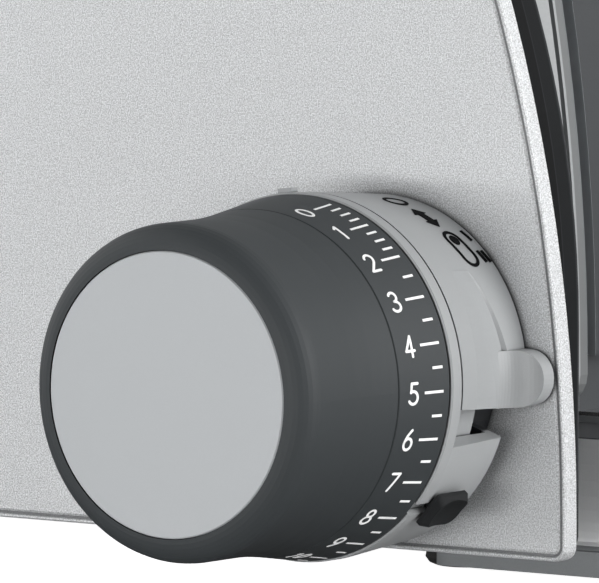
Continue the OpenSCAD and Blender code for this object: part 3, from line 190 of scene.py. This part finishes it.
# The switch lever's cone: its radius at the panel, its growth over its depth, and its middle radius, in mm
LEVER_FOOT = 33.7
LEVER_FLARE = 1.7
LEVER_DEPTH = 25.1
LEVER_MIDDLE = 34.6

# Sections of a stroke's round end, and the turns between which they lie
END_SECTIONS = 6
END_TURNS = (12, 88)


def strip_faces(sections):
    """Faces of a band whose points come in pairs: each joins one pair to the next."""
    return np.arange(sections - 1)[:, None] * 2 + np.array([0, 1, 3, 2])


def ribbon(path, width, round_ends=True):
    """A flat band along a path: centre line plus and minus half the width along its normal.

    Round ends add sections past each end whose half width shrinks as the cosine of a quarter turn."""
    keep = np.r_[True, np.linalg.norm(np.diff(path, axis=0), axis=1) > 1e-6]
    path = path[keep]
    closed = np.linalg.norm(path[0] - path[-1]) < 1e-6
    if closed:
        run = np.roll(path[:-1], -1, 0) - np.roll(path[:-1], 1, 0)
        run = np.vstack([run, run[:1]])
    else:
        run = np.gradient(path, axis=0)
    run = run / np.linalg.norm(run, axis=1)[:, None]
    half = np.full(len(path), width / 2)
    if round_ends and not closed:
        g = np.radians(np.linspace(*END_TURNS, END_SECTIONS))
        ahead = (width / 2 * np.sin(g))[:, None]
        narrow = width / 2 * np.cos(g)
        path = np.vstack([path[0] - ahead[::-1] * run[0], path, path[-1] + ahead * run[-1]])
        run = np.vstack([np.repeat(run[:1], END_SECTIONS, 0), run, np.repeat(run[-1:], END_SECTIONS, 0)])
        half = np.concatenate([narrow[::-1], half, narrow])
    side = np.column_stack([-run[:, 1], run[:, 0]]) * half[:, None]
    points = np.stack([path + side, path - side], 1).reshape(-1, 2)
    return points, strip_faces(len(path))


def band(x, half, y=0.0):
    """A filled shape along x: y plus and minus a half width at each x."""
    edges = np.stack([np.column_stack([x, y + half]), np.column_stack([x, y - half])], 1)
    return edges.reshape(-1, 2), strip_faces(len(x))


def dot(cx, cy, r, steps=28):
    """A filled round: a band whose half width follows a circle."""
    g = np.radians(np.linspace(-89, 89, steps))
    return band(cx + r * np.sin(g), r * np.cos(g), cy)


def on_ring(angle, depth, radius):
    """Place on a ring about the knob: angle clockwise from the top, depth out of the panel, radius in mm."""
    g = np.radians(angle)
    return KNOB + MM * np.column_stack([-depth, -radius * np.sin(g), radius * np.cos(g)])


def scale_radius(depth):
    """Radius of the scale ring: a cone that narrows evenly from its back edge to its front edge."""
    low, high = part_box("scale_ring")
    wide = (high.z - low.z) / 2 / MM
    back = (KNOB[0] - high.x) / MM
    front = (KNOB[0] - low.x) / MM
    return wide - SCALE_TAPER * (depth - back - SCALE_EDGE) / (front - back - SCALE_EDGES)


def lever_radius(depth):
    """Radius of the switch lever: a cone that widens evenly away from the panel."""
    return LEVER_FOOT + LEVER_FLARE * depth / LEVER_DEPTH


def mesh_piece(name, parts, place, material, body, thickness):
    """One object from flat parts: place puts their points on the object, and a wall gives them body."""
    points = []
    faces = []
    count = 0
    for flat, quads in parts:
        points.append(place(flat))
        faces.extend((quads + count).tolist())
        count += len(flat)
    mesh = bpy.data.meshes.new(name)
    mesh.from_pydata(np.vstack(points).tolist(), [], faces)
    mesh.update()
    mesh.materials.append(material)
    piece = bpy.data.objects.new(name, mesh)
    bpy.context.scene.collection.objects.link(piece)
    wall = piece.modifiers.new("Paint", "SOLIDIFY")
    wall.thickness = thickness
    wall.offset = -1
    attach(piece, body)


def tick_angles(dial):
    """Angles of the long ticks and the short ticks: three quarters up to 2, then one half in each unit."""
    numbers = np.arange(dial.highest + 1)
    long_ticks = dial.zero_angle + numbers * dial.unit_angle
    quarters = np.setdiff1d(np.arange(0, 2, 0.25), numbers)
    halves = np.arange(2, dial.highest) + 0.5
    return long_ticks, dial.zero_angle + np.concatenate([quarters, halves]) * dial.unit_angle


def number_strokes(number):
    """Strokes of a number in widths and heights of one figure, its middle line at half the height.

    Two figures are narrower and start closer to the grip, so that they end near where one figure does."""
    text = str(number)
    pair = len(text) > 1
    size = PAIR_WIDTH if pair else 1
    shift = PAIR_SHIFT if pair else 0
    starts = [((k + 1 - len(text)) * PAIR_STEP - 0.5) * size + shift for k in range(len(text))]
    return [
        stroke * [size, 1] + [start, -0.5]
        for start, figure in zip(starts, text)
        for stroke in FIGURES[figure]
    ]


class SLICER_OT_print_dial(bpy.types.Operator):
    """Print the numbers and ticks on the scale ring"""

    bl_idname = "slicer.print_dial"
    bl_label = "Print dial"

    def execute(self, context):
        dial = context.scene.slicer.dial
        paint = bpy.data.materials["figure_white"]
        thick = 2 * dial.print_lift * MM
        degree = math.degrees(1 / scale_radius(dial.digit_depth))

        def place(flat):
            depth, angle = flat[:, 0], flat[:, 1]
            return on_ring(angle, depth, scale_radius(depth) + dial.print_lift)

        long_ticks, short_ticks = tick_angles(dial)
        parts = []
        for angles, size in ((long_ticks, dial.tick_long), (short_ticks, dial.tick_short)):
            flat, quads = ribbon(line((size, 0), (0, 0), steps=3), dial.tick_line, False)
            depth, turn = dial.tick_end + flat[:, 0], degree * flat[:, 1]
            parts.extend((np.column_stack([depth, angle + turn]), quads) for angle in angles)
        mesh_piece("dial_ticks", parts, place, paint, "knob", thick)

        parts = []
        for number, angle in enumerate(long_ticks):
            for stroke in number_strokes(number):
                flat, quads = ribbon(stroke * [dial.digit_width, dial.digit_height], dial.digit_line)
                flat = np.column_stack([dial.digit_depth - flat[:, 0], angle - degree * flat[:, 1]])
                parts.append((flat, quads))
        mesh_piece("dial_numbers", parts, place, paint, "knob", thick)
        return {"FINISHED"}


def slot_outline():
    """The long round of the running sign: two half ellipses joined by straight strokes."""
    right = bow(2.3, 0, 2.1, 2.3, -90, 90)
    left = bow(-2.3, 0, 2.1, 2.3, 90, 270)
    return np.vstack([line(left[-1], right[0]), right[1:], line(right[-1], left[0]), left[1:]])


def double_arrow():
    """An arrow with two heads: a half width that is even along the neck and runs to a point at each tip."""
    neck = 1.2
    tip = 3.4
    along = np.linspace(-tip, tip, 69)
    return band(along, np.interp(np.abs(along), [0, neck, neck + 0.05, tip], [1.2, 1.2, 2.5, 0.02]))


class SLICER_OT_print_signs(bpy.types.Operator):
    """Print the switch signs on the lever"""

    bl_idname = "slicer.print_signs"
    bl_label = "Print signs"

    def execute(self, context):
        dial = context.scene.slicer.dial
        degree = math.degrees(1 / LEVER_MIDDLE)

        def place(flat):
            depth, angle = flat[:, 0], flat[:, 1]
            return on_ring(angle, depth, lever_radius(depth) + dial.print_lift)

        def spot(part, depth, angle, turn=0):
            """Moves a part drawn in mm (x along the turn, y out of the panel) to its place on the lever."""
            flat, quads = part
            c, s = math.cos(math.radians(turn)), math.sin(math.radians(turn))
            x, y = flat[:, 0] * c - flat[:, 1] * s, flat[:, 0] * s + flat[:, 1] * c
            return np.column_stack([depth + y, angle + degree * x]), quads

        width = dial.sign_line
        bar = line((-1.5, 0), (1.5, 0))
        parts = [
            spot(ribbon(bow(0, 0, 1.95, 2.8, 0, 360, 48), width), depth=9.15, angle=15.6),
            spot(double_arrow(), depth=9.05, angle=28.2, turn=-9),
            spot(ribbon(slot_outline(), width), depth=8.0, angle=44.0, turn=-9),
            spot(dot(-2.1, -0.15, 1.3), depth=8.0, angle=44.0, turn=-9),
            spot(ribbon(bar, width * 1.3, False), depth=2.4, angle=38.4, turn=-12),
            spot(ribbon(bar, width * 1.35, False), depth=3.1, angle=47.8, turn=-12),
            spot(ribbon(bar, width * 1.35, False), depth=1.6, angle=47.8, turn=-12),
        ]
        paint = bpy.data.materials["sign_black"]
        mesh_piece("switch_signs", parts, place, paint, "lever", 2 * dial.print_lift * MM)
        return {"FINISHED"}


# Finishes

# A stretch in another colour: from low to high along an axis from the knob, in mm, with soft edges
Zone = namedtuple("Zone", "axis low high soft colour")

# Painted shade: a dark line along the bottom of the panel's seam groove, where shade falls in the crease
PANEL_SEAM_SHADE = Zone("X", 0.46, 0.52, 0.03, (0.1, 0.103, 0.106))
# Painted shade: switch ring surfaces within 30.6 mm of the knob's axis, in the gap and the cavity, are painted
# dark as if in shadow
LEVER_GAP_SHADE = Zone("Radius", 0, 30.6, 0.2, (0.03, 0.032, 0.035))
LOCK_SLIDER = Zone("X", -60, -1, 0.1, (0.016, 0.017, 0.018))
# Painted shade: the frame's front edge stays near black next to the panel, as in a shadow gap, and is a little
# lighter from 8.1 mm out, as the shading of a step that the frame's shape doesn't have
FRAME_STEP_SHADING = Zone("X", 8.1, 30, 0.05, (0.007, 0.008, 0.009))
# Painted highlight: a lighter line across the frame's edge at 8 mm, where the missing step's edge would catch
# light
FRAME_EDGE_HIGHLIGHT = Zone("X", 8.0, 8.3, 0.06, (0.016, 0.017, 0.019))
FRAME_INSIDE = Zone("X", 12.6, 90, 0.4, (0.045, 0.047, 0.05))
# Painted shade: a near-black band along the base plate's bottom, more than 41.6 mm below the knob, where shade
# falls under the slab
BASE_BOTTOM_SHADE = Zone("Z", -60, -41.6, 0.1, (0.01, 0.01, 0.011))
# Painted shade: the console's faces higher than 16.1 mm below the knob are dark, as in the shadow under the
# carriage tray
CONSOLE_TOP_SHADE = Zone("Z", -16.1, 0, 0.1, (0.035, 0.037, 0.04))
# Painted light and shade: the stop plate keeps its light colour up to 62.6 mm from the panel as a painted
# highlight along its edge, and is darker beyond it as painted shade
STOP_EDGE_SHADING = Zone("X", 62.6, 90, 0.15, (0.18, 0.187, 0.19))
# Painted light: carriage parts from 60 to 67 mm out of the panel, among them the wall's side facing the panel, are
# painted ten times lighter, as if lit inside the stop plate's shadow
CARRIAGE_SIDE_LIGHT = Zone("X", 60, 67.05, 0.03, (0.34, 0.36, 0.38))

# The console's front wall, painted darker than the rest of the console as shade against the strong light on it:
# how deep the painted shade goes, and its tone
CONSOLE_SHADE_DEPTH = 0.2
CONSOLE_SHADE_TONE = (0.5, 0.51, 0.52)

# Painted shade in crevices and at contacts: the open share that counts as shut, the one that counts as free, and
# the tone of a shut one
CREVICE_SHUT = 0.35
CREVICE_FREE = 0.8
CREVICE_SHADE_TONE = 0.12


def node_group(name, inputs, outputs):
    """A shader node group with named sockets, with its input and output nodes."""
    group = bpy.data.node_groups.new(name, "ShaderNodeTree")
    for direction, sockets in (("INPUT", inputs), ("OUTPUT", outputs)):
        for socket, kind, default in sockets:
            made = group.interface.new_socket(socket, in_out=direction, socket_type="NodeSocket" + kind)
            if default is not None:
                made.default_value = default
    return group, group.nodes.new("NodeGroupInput"), group.nodes.new("NodeGroupOutput")


def add(tree, kind, links=None, **values):
    """A node with its settings, its plain socket values by name or place, and its incoming links."""
    made = tree.nodes.new("ShaderNode" + kind)
    for key, value in values.items():
        setattr(made, key, value)
    for socket, value in (links or {}).items():
        if isinstance(value, bpy.types.NodeSocket):
            tree.links.new(value, made.inputs[socket])
        else:
            made.inputs[socket].default_value = value
    return made


def use_group(tree, name, links):
    """A node group placed in a tree, with its own values and links."""
    return add(tree, "Group", links, node_tree=bpy.data.node_groups[name])


def blend_colours(tree, share, first, second):
    """A mix of two colours: the first where the share is none, the second where it is full."""
    return add(tree, "MixRGB", {"Fac": share, "Color1": first, "Color2": second}).outputs[0]


def grain_group():
    """Fine grain: noise at a scale, stretched to a contrast, mixes two colours and gives a height."""
    group, enter, leave = node_group(
        "fine_grain",
        [
            ("Vector", "Vector", None),
            ("Scale", "Float", 2500.0),
            ("Contrast", "Float", 0.5),
            ("Light", "Color", None),
            ("Dark", "Color", None),
        ],
        [("Color", "Color", None), ("Height", "Float", None)],
    )
    links = {"Vector": enter.outputs["Vector"], "Scale": enter.outputs["Scale"]}
    noise = add(group, "TexNoise", {**links, "Detail": 3.0, "Roughness": 0.6})
    low = add(group, "Math", {0: 0.5, 1: enter.outputs["Contrast"]}, operation="SUBTRACT")
    high = add(group, "Math", {0: 0.5, 1: enter.outputs["Contrast"]}, operation="ADD")
    ends = {"From Min": low.outputs[0], "From Max": high.outputs[0]}
    spread = add(group, "MapRange", {"Value": noise.outputs["Fac"], **ends}).outputs[0]
    mixed = blend_colours(group, spread, enter.outputs["Dark"], enter.outputs["Light"])
    group.links.new(mixed, leave.inputs["Color"])
    group.links.new(spread, leave.inputs["Height"])


def sheen_group():
    """Handling: broad soft noise moves the roughness up and down about its middle."""
    group, enter, leave = node_group(
        "handling",
        [
            ("Vector", "Vector", None),
            ("Scale", "Float", 40.0),
            ("Roughness", "Float", 0.4),
            ("Spread", "Float", 0.1),
        ],
        [("Roughness", "Float", None)],
    )
    links = {"Vector": enter.outputs["Vector"], "Scale": enter.outputs["Scale"]}
    noise = add(group, "TexNoise", {**links, "Detail": 4.0})
    centred = add(group, "Math", {0: noise.outputs["Fac"], 1: 0.5}, operation="SUBTRACT")
    terms = {0: centred.outputs[0], 1: enter.outputs["Spread"], 2: enter.outputs["Roughness"]}
    scaled = add(group, "Math", terms, operation="MULTIPLY_ADD")
    group.links.new(scaled.outputs[0], leave.inputs["Roughness"])


def crevice_group():
    """Painted shade in crevices and at contacts: where near walls shut off most of the view outwards, the dark
    colour takes over.
    """
    group, enter, leave = node_group(
        "crevice",
        [("Color", "Color", None), ("Dark", "Color", None), ("Distance", "Float", 0.001)],
        [("Color", "Color", None)],
    )
    near = add(group, "AmbientOcclusion", {"Distance": enter.outputs["Distance"]}, samples=8)
    ends = {"From Min": CREVICE_SHUT, "From Max": CREVICE_FREE}
    free = add(group, "MapRange", {"Value": near.outputs["AO"], **ends}).outputs[0]
    mixed = blend_colours(group, free, enter.outputs["Dark"], enter.outputs["Color"])
    group.links.new(mixed, leave.inputs["Color"])


def knob_group():
    """Place from the knob's axis at the panel, in mm: across, along, up and the radius about the axis."""
    group, enter, leave = node_group(
        "from_knob",
        [("Vector", "Vector", None)],
        [("X", "Float", None), ("Y", "Float", None), ("Z", "Float", None), ("Radius", "Float", None)],
    )
    moved = add(group, "VectorMath", {0: enter.outputs["Vector"], 1: tuple(KNOB)}, operation="SUBTRACT")
    sized = add(group, "VectorMath", {0: moved.outputs[0], "Scale": 1 / MM}, operation="SCALE")
    parts = add(group, "SeparateXYZ", {0: sized.outputs[0]})
    flat = add(group, "VectorMath", {0: sized.outputs[0], 1: (0, 1, 1)}, operation="MULTIPLY")
    radius = add(group, "VectorMath", {0: flat.outputs[0]}, operation="LENGTH")
    for axis in "XYZ":
        group.links.new(parts.outputs[axis], leave.inputs[axis])
    group.links.new(radius.outputs["Value"], leave.inputs["Radius"])


def zone_group():
    """Another colour between two values: a step up at the low one times a step down at the high one."""
    group, enter, leave = node_group(
        "colour_zone",
        [
            ("Value", "Float", None),
            ("Low", "Float", 0.0),
            ("High", "Float", 1.0),
            ("Soft", "Float", 0.1),
            ("Outside", "Color", None),
            ("Inside", "Color", None),
        ],
        [("Color", "Color", None)],
    )
    steps = []
    for edge, before, after in (("Low", 0.0, 1.0), ("High", 1.0, 0.0)):
        start = add(group, "Math", {0: enter.outputs[edge], 1: enter.outputs["Soft"]}, operation="SUBTRACT")
        stop = add(group, "Math", {0: enter.outputs[edge], 1: enter.outputs["Soft"]}, operation="ADD")
        links = {"Value": enter.outputs["Value"], "From Min": start.outputs[0], "From Max": stop.outputs[0]}
        steps.append(add(group, "MapRange", {**links, "To Min": before, "To Max": after}).outputs[0])
    both = add(group, "Math", {0: steps[0], 1: steps[1]}, operation="MULTIPLY")
    mixed = blend_colours(group, both.outputs[0], enter.outputs["Outside"], enter.outputs["Inside"])
    group.links.new(mixed, leave.inputs["Color"])


def finish(
    name,
    colour,
    roughness,
    metallic=0.0,
    scale=2500,
    contrast=0.3,
    depth=0.0,
    tone=0.06,
    stretch=None,
    crevice=0.0,
    zones=(),
    specular=0.5,
):
    """A material: grain colours within tone of the colour, grain height as bump, and handled roughness.

    Depth is the grain's height in mm. Stretch scales the grain along the axes, which makes brushed lines.
    Crevice shade is the distance in mm within which near walls and touching parts paint shade into the colour.
    Each zone is laid over the colour and the zones before it."""
    made = bpy.data.materials.new(name)
    made.use_nodes = True
    tree = made.node_tree
    shader = tree.nodes["Principled BSDF"]
    place = add(tree, "TexCoord").outputs["Object"]
    drawn = add(tree, "Mapping", {"Vector": place, "Scale": stretch}).outputs[0] if stretch else place
    light = [min(1, c * (1 + tone)) for c in colour] + [1]
    dark = [c * (1 - tone) for c in colour] + [1]
    links = {"Vector": drawn, "Scale": scale, "Contrast": contrast, "Light": light, "Dark": dark}
    grain = use_group(tree, "fine_grain", links)
    handled = use_group(tree, "handling", {"Vector": place, "Roughness": roughness, "Spread": 0.06})
    shade = grain.outputs["Color"]
    # Painted shade: near walls and touching parts darken the colour, as shade in crevices and at contacts
    if crevice:
        shut = [c * CREVICE_SHADE_TONE for c in colour] + [1]
        links = {"Color": shade, "Dark": shut, "Distance": crevice * MM}
        shade = use_group(tree, "crevice", links).outputs["Color"]
    if zones:
        from_knob = use_group(tree, "from_knob", {"Vector": place})
    for zone in zones:
        links = {"Value": from_knob.outputs[zone.axis], "Outside": shade, "Inside": [*zone.colour, 1]}
        ends = {"Low": zone.low, "High": zone.high, "Soft": zone.soft}
        shade = use_group(tree, "colour_zone", {**links, **ends}).outputs["Color"]
    tree.links.new(shade, shader.inputs["Base Color"])
    tree.links.new(handled.outputs["Roughness"], shader.inputs["Roughness"])
    shader.inputs["Metallic"].default_value = metallic
    shader.inputs["Specular IOR Level"].default_value = specular
    if depth:
        links = {"Height": grain.outputs["Height"], "Distance": depth * MM, "Strength": 1.0}
        tree.links.new(add(tree, "Bump", links).outputs[0], shader.inputs["Normal"])
    return made


def finish_table(colours):
    """The values of every finish, by the slot or the printed paint that it is for."""
    front = (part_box("rail_block")[0].y - KNOB[1]) / MM
    # Painted shade: the console's front wall is darker than the rest of the console
    console_wall_shade = Zone("Y", front - 1, front + CONSOLE_SHADE_DEPTH, 0.1, CONSOLE_SHADE_TONE)
    return {
        "figure_white": dict(colour=colours.figures, roughness=0.5, contrast=0.25, tone=0.03),
        "sign_black": dict(colour=colours.signs, roughness=0.7, contrast=0.25, tone=0.2, specular=0.05),
        # Painted shade: contact shade around the knob and in crevices, and a dark line in the seam groove
        "panel_silver": dict(
            colour=colours.panel,
            roughness=0.42,
            metallic=0.3,
            scale=3600,
            contrast=0.14,
            depth=0.04,
            tone=0.34,
            crevice=2.0,
            zones=[PANEL_SEAM_SHADE],
        ),
        "grip_dark": dict(
            colour=colours.grip, roughness=0.58, scale=5200, depth=0.006, crevice=0.6, specular=0.3
        ),
        "cap_grey": dict(colour=colours.cap, roughness=0.5, scale=4200, depth=0.003, tone=0.02),
        # Painted shade: shade in crevices, and dark inner surfaces in the gap of the switch ring
        "ring_grey": dict(
            colour=colours.ring,
            roughness=0.42,
            scale=4200,
            depth=0.004,
            tone=0.03,
            crevice=0.8,
            zones=[LEVER_GAP_SHADE],
        ),
        # Painted shade: the frame's base colour is near black so that its front edge looks shaded; its inner faces
        # past 12.6 mm get the frame's own lighter black
        "frame_black": dict(
            colour=(0.003, 0.0035, 0.004),
            roughness=0.7,
            scale=3000,
            depth=0.01,
            tone=0.12,
            zones=[LOCK_SLIDER, FRAME_STEP_SHADING, FRAME_EDGE_HIGHLIGHT, FRAME_INSIDE],
            specular=0.15,
        ),
        "base_dark": dict(
            colour=(0.16, 0.17, 0.176), roughness=0.5, scale=3000, depth=0.01, tone=0.08, zones=[BASE_BOTTOM_SHADE]
        ),
        "console_light": dict(
            colour=(0.88, 0.89, 0.9),
            roughness=0.5,
            scale=3400,
            depth=0.006,
            tone=0.03,
            zones=[console_wall_shade, CONSOLE_TOP_SHADE],
        ),
        "carriage_dark": dict(
            colour=(0.034, 0.037, 0.041),
            roughness=0.55,
            scale=2600,
            depth=0.01,
            tone=0.08,
            zones=[CARRIAGE_SIDE_LIGHT],
        ),
        "foot_rubber": dict(
            colour=(0.012, 0.012, 0.012), roughness=0.8, scale=1800, contrast=0.25, depth=0.03, tone=0.2
        ),
        "stop_metal": dict(
            colour=(0.36, 0.37, 0.376),
            roughness=0.5,
            metallic=0.4,
            scale=500,
            depth=0.002,
            tone=0.05,
            stretch=(1, 20, 1),
            zones=[STOP_EDGE_SHADING],
        ),
        "bright_steel": dict(
            colour=(0.66, 0.67, 0.68),
            roughness=0.24,
            metallic=1,
            scale=700,
            depth=0.002,
            stretch=(1, 12, 12),
        ),
        "screw_zinc": dict(
            colour=(0.5, 0.5, 0.49), roughness=0.36, metallic=1, scale=900, depth=0.004, tone=0.1
        ),
        "bush_bronze": dict(
            colour=(0.42, 0.27, 0.1),
            roughness=0.5,
            metallic=1,
            scale=2600,
            contrast=0.25,
            depth=0.01,
            tone=0.2,
        ),
        "copper": dict(
            colour=(0.5, 0.2, 0.09), roughness=0.35, metallic=1, scale=1500, depth=0.02, tone=0.15
        ),
        "lamination": dict(
            colour=(0.1, 0.1, 0.11),
            roughness=0.55,
            metallic=0.8,
            scale=600,
            depth=0.02,
            tone=0.25,
            stretch=(1, 9, 1),
        ),
        "carbon": dict(colour=(0.01, 0.01, 0.01), roughness=0.7, scale=2200, depth=0.02, tone=0.3),
        "capacitor_blue": dict(colour=(0.05, 0.12, 0.3), roughness=0.25, scale=900, depth=0.002, tone=0.08),
        "nylon": dict(colour=(0.72, 0.7, 0.62), roughness=0.5, scale=2600, depth=0.006, tone=0.04),
        "fan_grey": dict(colour=(0.08, 0.08, 0.085), roughness=0.5, scale=2600, depth=0.006, tone=0.08),
    }


class SLICER_OT_paint(bpy.types.Operator):
    """Make every finish and give it to the pieces of its slot"""

    bl_idname = "slicer.paint"
    bl_label = "Paint pieces"

    def execute(self, context):
        for make in (grain_group, sheen_group, crevice_group, knob_group, zone_group):
            make()
        table = finish_table(context.scene.slicer.finish)
        finishes = {name: finish(name, **values) for name, values in table.items()}
        for part in frame["record"]["subparts"]:
            node = frame["nodes"][part["node"]]
            node.data.materials.clear()
            node.data.materials.append(finishes[part["material_slot"]])
        return {"FINISHED"}


# Stage

CAMERA_PLACE = (-1.16437, -0.8877, 0.16817)
CAMERA_LOOK = (0.81405, 0.57531, -0.07966)
SENSOR_WIDTH = 36

FLOOR_REACH = 20
FLOOR_CELLS = 8
FLOOR_LEVEL = -0.0005

# Each light's place from the knob and its width and height, in metres, and the setting that holds its power
LIGHTS = {
    "front_light": ((-1.1, 0.1, -0.03), (1.6, 0.1), "front"),
    "low_light": ((-1.1, -0.1, -0.035), (0.6, 0.06), "low"),
    "left_light": ((-0.4, 1.2, 0.5), (1.4, 1.2), "left"),
    "right_light": ((0.3, -1.1, 0.35), (1.2, 0.8), "right"),
    "top_light": ((0.3, -0.6, 0.9), (1.2, 1.2), "top"),
    "back_light": ((1.1, 0.5, 0.9), (1.4, 1.2), "back"),
}


def set_camera(scene, stage):
    """The photo's camera: a long lens, almost level, round from the panel's face."""
    camera = bpy.data.cameras.new("camera")
    camera.lens = stage.lens
    camera.sensor_width = SENSOR_WIDTH
    camera.clip_start = 0.1
    camera.clip_end = 30
    viewer = bpy.data.objects.new("camera", camera)
    viewer.location = CAMERA_PLACE
    viewer.rotation_euler = Vector(CAMERA_LOOK).to_track_quat("-Z", "Y").to_euler()
    scene.collection.objects.link(viewer)
    scene.camera = viewer


def lay_floor(scene, stage):
    """A flat grid of square cells under the feet, white to the camera and dim to the pieces."""
    reach = np.linspace(-FLOOR_REACH, FLOOR_REACH, FLOOR_CELLS + 1)
    x, y = np.meshgrid(reach, reach, indexing="ij")
    points = np.column_stack([x.ravel(), y.ravel(), np.full(x.size, FLOOR_LEVEL)])
    row = FLOOR_CELLS + 1
    cells = np.arange(FLOOR_CELLS)
    corner = (cells[:, None] * row + cells).ravel()[:, None]
    mesh = bpy.data.meshes.new("floor")
    mesh.from_pydata(points.tolist(), [], (corner + np.array([0, row, row + 1, 1])).tolist())
    floor = bpy.data.objects.new("floor", mesh)
    scene.collection.objects.link(floor)
    floor.visible_glossy = False
    white = bpy.data.materials.new("floor_white")
    white.use_nodes = True
    tree = white.node_tree
    shader = tree.nodes["Principled BSDF"]
    shader.inputs["Base Color"].default_value = [*stage.floor, 1]
    shader.inputs["Roughness"].default_value = 0.9
    shader.inputs["Emission Color"].default_value = (1, 1, 1, 1)
    shown = add(tree, "LightPath").outputs["Is Camera Ray"]
    glow = add(tree, "Mix", {"Factor": shown, "A": stage.bounce, "B": 1.0})
    tree.links.new(glow.outputs[0], shader.inputs["Emission Strength"])
    mesh.materials.append(white)


def set_sky(scene, stage):
    """A sky that grows brighter upwards: dim as light, stronger in reflections, white to the camera."""
    world = bpy.data.worlds.new("sky")
    world.use_nodes = True
    tree = world.node_tree
    height = add(tree, "SeparateXYZ", {0: add(tree, "TexCoord").outputs["Generated"]}).outputs["Z"]
    ray = add(tree, "LightPath")
    dim = {"From Min": -0.05, "From Max": 0.6, "To Min": 0.0, "To Max": stage.sky}
    glow = add(tree, "MapRange", {"Value": height, **dim}).outputs[0]
    bright = {"From Min": -0.3, "From Max": 0.6, "To Min": 0.05, "To Max": stage.mirror}
    shine = add(tree, "MapRange", {"Value": height, **bright}).outputs[0]
    lit = add(tree, "Mix", {"Factor": ray.outputs["Is Glossy Ray"], "A": glow, "B": shine}).outputs[0]
    level = add(tree, "Mix", {"Factor": ray.outputs["Is Camera Ray"], "A": lit, "B": 1.0}).outputs[0]
    background = tree.nodes["Background"]
    background.inputs["Color"].default_value = (1, 1, 1, 1)
    tree.links.new(level, background.inputs["Strength"])
    scene.world = world


def area_light(name, place, target, size, power):
    """A soft rectangular light at a place, turned to its target."""
    lamp = bpy.data.lights.new(name, "AREA")
    lamp.shape = "RECTANGLE"
    lamp.size, lamp.size_y = size
    lamp.energy = power
    made = bpy.data.objects.new(name, lamp)
    made.location = place
    made.rotation_euler = (target - place).to_track_quat("-Z", "Y").to_euler()
    made.visible_camera = False
    bpy.context.scene.collection.objects.link(made)


class SLICER_OT_set_stage(bpy.types.Operator):
    """Lay the floor, set the lights and the camera"""

    bl_idname = "slicer.set_stage"
    bl_label = "Set stage"

    def execute(self, context):
        scene = context.scene
        stage = scene.slicer.stage
        set_camera(scene, stage)
        lay_floor(scene, stage)
        set_sky(scene, stage)
        aim = Vector(KNOB)
        for name, (offset, size, setting) in LIGHTS.items():
            area_light(name, aim + Vector(offset), aim, size, getattr(stage, setting))
        scene.view_settings.view_transform = "Standard"
        scene.view_settings.look = "None"
        return {"FINISHED"}


class SLICER_PT_looks(bpy.types.Panel):
    """Steps of the slicer's looks"""

    bl_label = "Food slicer"
    bl_idname = "SLICER_PT_looks"
    bl_space_type = "VIEW_3D"
    bl_region_type = "UI"
    bl_category = "Slicer"

    def draw(self, context):
        for step in STEPS:
            self.layout.operator(step.bl_idname)
        settings = context.scene.slicer
        for group in (settings.dial, settings.finish, settings.stage):
            box = self.layout.box()
            for name in group.__annotations__:
                box.prop(group, name)


STEPS = (SLICER_OT_set_stage, SLICER_OT_paint, SLICER_OT_print_dial, SLICER_OT_print_signs)
CLASSES = (DialSettings, FinishSettings, StageSettings, SlicerSettings, *STEPS, SLICER_PT_looks)


def register():
    for cls in CLASSES:
        bpy.utils.register_class(cls)
    bpy.types.Scene.slicer = PointerProperty(type=SlicerSettings)


def unregister():
    del bpy.types.Scene.slicer
    for cls in reversed(CLASSES):
        bpy.utils.unregister_class(cls)


def main():
    """Makes the looks step by step."""
    register()
    bpy.ops.slicer.set_stage()
    bpy.ops.slicer.paint()
    bpy.ops.slicer.print_dial()
    bpy.ops.slicer.print_signs()
    bpy.context.view_layer.update()


if __name__ == "__main__":
    main()
